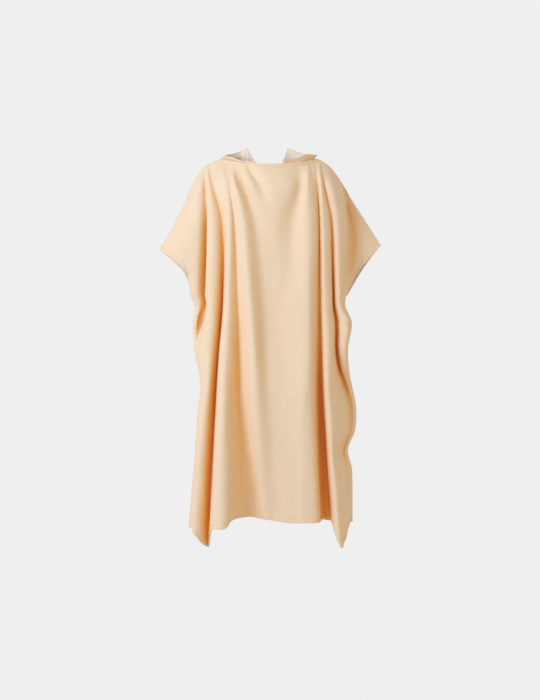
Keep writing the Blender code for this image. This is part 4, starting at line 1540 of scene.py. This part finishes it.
@dataclass
class HoodHalf:
    """One half of the hood, from its front end round to the centre seam.

    Attributes:
        name: The piece's name.
        node: The solid that it stands for.
        side: Its side of the garment.
        sections: Its sections, from the front end to the centre seam.
        outward: The side of the grid on which the woven face lies.
        front_end: Where its foot starts, along X.
        seed: Where its unevenness starts.
    """
    name: str
    node: str
    side: Side
    sections: Sequence[HoodSection]
    outward: float
    front_end: float
    seed: int
    along_steps: int = 14           # columns between two sections
    down_steps: int = 14            # rows between two points of a section
    inset: float = 6.6 * MM         # its foot lies inside the neck edge by this much,
    backset: float = 3.5 * MM       # from front and back by this much,
    lap: float = 3.0 * MM           # and below it by this much
    roll: float = 13.0 * MM         # height of the roll over the foot
    roll_back: float = 2.0 * MM
    wall: tuple[float, float, float] = (0.3, 0.6, 0.22)     # front wall, from foot to sag
    keel_share: float = 0.11        # half width of the lowest fold, for each metre it hangs
    keel_least: float = 12.0 * MM
    bulge: float = 0.2              # how far the back wall stands out, for each metre
    lip_place: float = 0.8          # where the rim starts to turn over, from back to rim
    lip_rise: float = 1.5
    lip_out: float = 0.3
    lip_upright: float = 0.7
    bag_starts: float = 20.0 * MM   # a section that hangs less than this stands up
    seam_reach: float = 12.0 * MM   # how far from the centre seam it lies square to it
    hang_from: float = 0.5          # unevenness starts this far down a section,
    hang_blend: float = 0.15        # fully so from this much further on
    uneven: float = 3.0 * MM
    calm_seam: float = 0.04         # no unevenness at the seam, all of it from here on
    calm_rim: float = 0.05
    drape: Grain = Grain(0.07, 0.16, 3, 7)
    ease: Grain = Grain(0.03, 0.06, 11, 2)
    ease_share: float = 0.4
    pile: Grain = Grain(4 * MM, 4 * MM)
    pile_height: float = 0.35 * MM
    rim_rise: float = 0.6 * MM
    rim_width: float = 8.0 * MM
    loop_pitch: float = 2.3 * MM
    loop_height: float = 1.6 * MM
    loop_gap: float = 0.5 * MM
    loop_thickness: float = 0.7 * MM
    loop_ragged: float = 0.6
    loop_leans: tuple[float, ...] = (0.1, 0.5)  # how far each row lies towards the terry face

    def foot(self, count: float) -> np.ndarray:
        """A point of the hood's lower edge.

        Args:
            count: 0 at its front end, 1 at the shoulder and 2 at the centre back.

        Returns:
            The point.
        """
        half = CUT.neck_half - self.inset
        end = CUT.neck_centre + self.side.value * half
        if count <= 1.0:
            start, depth, part = self.front_end, -(CUT.neck_front - self.backset), count
        else:
            start, depth, part = CUT.neck_centre, CUT.neck_back - self.backset, 2.0 - count
        x = start + (end - start) * part
        bow = 1.0 - min(1.0, abs(x - CUT.neck_centre) / half) ** CUT.neck_round
        return np.array([x, depth * bow, CUT.neck_top - CUT.neck_drop * bow - self.lap])

    def section_points(self, section: HoodSection) -> np.ndarray:
        """Points of one section.

        Args:
            section: The section.

        Returns:
            Nine points: foot, roll, front wall, lowest fold, back wall and rim.
        """
        foot = self.foot(section.foot)
        sag = np.array([section.sag_x, section.sag_y, section.sag_z]) * MM
        rim = np.array([section.rim_x, section.rim_y, section.rim_z]) * MM
        depth = max(0.0, foot[2] - sag[2])
        hang = min(1.0, depth / self.bag_starts)
        turn = math.radians(90.0 * max(0.0, section.foot - 1.0))
        outward = np.array([math.copysign(math.cos(turn), sag[0]), math.sin(turn), 0.0])
        keel = max(self.keel_share * depth, self.keel_least) * hang
        lift = np.array([0.0, 0.0, keel])
        back = (sag + rim) / 2 + outward * self.bulge * depth
        lip = outward * self.lip_out + np.array([0.0, 0.0, self.lip_rise])
        below_rim = back + self.lip_place * (rim - back) + lip * section.over * MM
        if not section.over:
            below_rim[:2] += self.lip_upright * (rim - below_rim)[:2]
        bag = np.array([
            foot,
            foot + np.array([0.0, self.roll_back, self.roll]),
            foot + np.array(self.wall) * (sag - foot),
            sag - outward * keel + lift,
            sag,
            sag + outward * keel + lift,
            back,
            below_rim,
            rim,
        ])
        part = np.linspace(0.0, 1.0, len(bag))[:, None]
        stand = (foot * (1 - part) ** 2 + sag * 2 * part * (1 - part) + rim * part ** 2)
        return stand * (1.0 - hang) + bag * hang

    def sheet(self) -> ClothSheet:
        """Works out the cloth of the hood half.

        Returns:
            The sheet, rows along the foot and rim, columns from front to back.
        """
        rows = np.array([self.section_points(section) for section in self.sections])
        lines = even_curves(rows, self.down_steps).transpose(1, 0, 2)
        points = even_curves(lines, self.along_steps)
        along = row_lengths(points)
        down = row_lengths(points.transpose(1, 0, 2)).T
        place = np.stack([along - along[:, -1:], down], axis=-1)
        sheet = ClothSheet(points, place, self.outward, Face.TERRY)
        from_seam = along[:, -1:] - along
        from_rim = down[-1:] - down
        at_seam = 1.0 - smooth_step(from_seam / self.seam_reach)
        sheet.square_normals(at_seam, 0)
        sheet.points[..., 0] += self.side.value * CUT.seam_gap / 2 * at_seam
        noise = ClothNoise(self.seed)
        hangs = smooth_step((down / down[-1:] - self.hang_from) / self.hang_blend)
        calm = (hangs * smooth_step(from_seam / self.calm_seam)
                * smooth_step(from_rim / self.calm_rim))
        soft = (noise.layer(self.drape, along, down)
                + self.ease_share * noise.layer(self.ease, along, down))
        sheet.push(self.uneven * soft * calm)
        sheet.rise = np.exp(-(from_rim / self.rim_width) ** 2) * self.rim_rise
        sheet.pile = self.pile_height * (1.0 + noise.layer(self.pile, place[..., 0], down))
        return sheet

    def stitch_rows(self, sheet: ClothSheet) -> list[StitchRow]:
        """The row of stitches along the rim.

        Args:
            sheet: The hood half's finished cloth.

        Returns:
            The row.
        """
        path, normals = (
            np.array([[np.interp(depth[-1] - CUT.hem, depth, grid[:, column, axis])
                       for axis in range(3)] for column, depth in enumerate(sheet.place[..., 1].T)])
            for grid in (sheet.face_points(Face.WOVEN), sheet.normals))
        ends = slice(3, -3)         # no stitch at the front end or in the centre seam
        return [StitchRow(path[ends], normals[ends])]

    def loop_rows(self, sheet: ClothSheet) -> list[StitchRow]:
        """Rows of terry loops that show over the rim.

        Args:
            sheet: The hood half's finished cloth.

        Returns:
            The rows, from the rim's middle to its terry side.
        """
        out = unit(sheet.points[-1] - sheet.points[-3])
        rows = []
        for lean in self.loop_leans:
            path = sheet.points[-1] - sheet.normals[-1] * lean * CUT.cloth
            rows.append(StitchRow(path, out - lean * sheet.normals[-1], pitch=self.loop_pitch,
                                  gap=self.loop_gap, thickness=self.loop_thickness,
                                  bow=self.loop_height, ragged=self.loop_ragged))
        return rows

    def dress(self, piece: bpy.types.Object) -> None:
        """Hides the solid that the piece stands for and gives the piece its slot.

        Args:
            piece: The object made from the cloth.
        """
        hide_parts(self.node)
        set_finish(piece, "hood_cloth")


# ---------------------------------------------------------------------------
# Studio
# ---------------------------------------------------------------------------

@dataclass
class Studio:
    """Pale floor, soft lights and the camera."""
    camera_place: tuple[float, float, float] = (-0.003, -4.0, -0.57)
    sensor: float = 36.0
    seen_height: float = 2.1        # at the garment's distance
    floor_z: float = -1.62
    floor_radius: float = 5.0
    wall_radius: float = 7.5
    wall_height: float = 5.0
    turns: int = 96                 # faces round the floor
    bends: int = 16                 # and up its curve
    softbox: tuple[float, float] = (1.6, 2.2)
    key_place: tuple[float, float, float] = (-2.6, -2.4, 0.7)
    fill_place: tuple[float, float, float] = (2.8, -2.6, 0.2)
    key_strength: float = 65.0
    key_colour: Colour = (0.94, 1.0, 1.16)
    fill_strength: float = 8.0
    fill_colour: Colour = (1.0, 0.92, 0.82)
    air: float = 0.65
    air_colour: Colour = (1.0, 0.90, 0.77)

    def build(self) -> None:
        """Makes the stage, the lights and the camera."""
        self.make_cove()
        self.make_light("key_softbox", self.key_place, self.key_strength, self.key_colour)
        self.make_light("fill_softbox", self.fill_place, self.fill_strength, self.fill_colour)
        self.make_air()
        self.make_camera()
        bpy.context.scene.view_settings.view_transform = "Standard"

    def make_cove(self) -> None:
        """A round floor that curves up into a wall."""
        turns = self.turns
        radii = [0.0, self.floor_radius]
        heights = [self.floor_z, self.floor_z]
        sweep = self.wall_radius - self.floor_radius
        for step in range(1, self.bends + 1):
            angle = math.pi / 2 * step / self.bends
            radii.append(self.floor_radius + sweep * math.sin(angle))
            heights.append(self.floor_z + sweep * (1 - math.cos(angle)))
        radii.append(self.wall_radius)
        heights.append(self.floor_z + self.wall_height)
        angles = np.linspace(0, 2 * math.pi, turns, endpoint=False)
        verts = [(r * math.cos(a), r * math.sin(a), z) for r, z in zip(radii, heights)
                 for a in angles]
        faces = [(ring * turns + i, ring * turns + (i + 1) % turns,
                  (ring + 1) * turns + (i + 1) % turns, (ring + 1) * turns + i)
                 for ring in range(len(radii) - 1) for i in range(turns)]
        mesh = bpy.data.meshes.new("studio_cove")
        mesh.from_pydata(verts, [], faces)
        mesh.shade_smooth()
        mesh.materials.append(PaperFinish().material())
        cove = put("studio_cove", mesh)
        cove.visible_diffuse = cove.visible_glossy = cove.visible_shadow = False

    def make_light(self, name: str, place: tuple[float, float, float], watts: float,
                   colour: Colour) -> None:
        """A softbox that looks at the garment's middle.

        Args:
            name: Its name.
            place: Where it stands.
            watts: Its strength.
            colour: Its colour.
        """
        light = bpy.data.lights.new(name, "AREA")
        light.shape = "RECTANGLE"
        light.size, light.size_y = self.softbox
        light.energy = watts
        light.color = colour
        lamp = put(name, light)
        lamp.location = place
        aim = Vector((0.0, 0.0, self.camera_place[2])) - Vector(place)
        lamp.rotation_euler = aim.to_track_quat("-Z", "Y").to_euler()

    def make_air(self) -> None:
        """Even light from all sides."""
        world = bpy.data.worlds.new("studio_air")
        world.use_nodes = True
        sky = world.node_tree.nodes["Background"]
        sky.inputs["Color"].default_value = with_alpha(self.air_colour)
        sky.inputs["Strength"].default_value = self.air
        bpy.context.scene.world = world

    def make_camera(self) -> None:
        """A level camera straight in front."""
        lens = bpy.data.cameras.new("studio_camera")
        lens.sensor_width = self.sensor
        distance = -self.camera_place[1]
        lens.lens = lens.sensor_width * distance / self.seen_height
        camera = put("studio_camera", lens)
        camera.location = self.camera_place
        camera.rotation_euler = (math.pi / 2, 0.0, 0.0)
        bpy.context.scene.camera = camera


def add_trim(name: str, rows: Sequence[StitchRow], finish: bpy.types.Material, node: str,
             slot: str) -> None:
    """Sews a piece of thread or yarn onto the cloth of a solid.

    Args:
        name: The piece's name.
        rows: Its rows of stitches or loops.
        finish: The thread's or the yarn's finish.
        node: The solid whose cloth it belongs to.
        slot: The slot of that cloth.
    """
    trim = sew(name, rows)
    trim.data.materials.append(finish)
    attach(trim, "root")
    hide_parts(node)
    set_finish(trim, slot)
    log.info("%s: %d faces", name, len(trim.data.polygons))


def main() -> None:
    """Builds the studio and the garment, piece by piece."""
    logging.basicConfig(level=logging.INFO, format="%(name)s: %(message)s")
    Studio().build()
    dresser = Dresser()
    pieces = (
        Panel("poncho_front", "front_panel", FRONT_FOLDS, -CUT.neck_front, -1.0,
              FRONT_CREASES, seed=11, held_by="back_panel"),
        Panel("poncho_back", "back_panel", BACK_FOLDS, CUT.neck_back, 1.0,
              (), seed=12, held_by="front_panel", turned_neck=False),
        HoodHalf("hood_half_left", "hood_left", Side.LEFT, HOOD_LEFT, -1.0, -42.0 * MM, seed=21),
        HoodHalf("hood_half_right", "hood_right", Side.RIGHT, HOOD_RIGHT, 1.0, 33.0 * MM,
                 seed=22, lip_upright=0.3),
    )
    sheets = [cloth.sheet() for cloth in pieces]
    surroundings = Surroundings(sheets)
    for cloth, sheet in zip(pieces, sheets):
        piece = sheet.build(cloth.name, surroundings)
        dresser.dress_cloth(piece)
        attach(piece, "root")
        cloth.dress(piece)
        log.info("%s: %d faces", piece.name, len(piece.data.polygons))
        add_trim(cloth.name + "_stitches", cloth.stitch_rows(sheet), dresser.thread,
                 cloth.node, piece["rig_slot"])
        if isinstance(cloth, HoodHalf):
            add_trim(cloth.name + "_rim_loops", cloth.loop_rows(sheet), dresser.terry,
                     cloth.node, piece["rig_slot"])


if __name__ == "__main__":
    main()
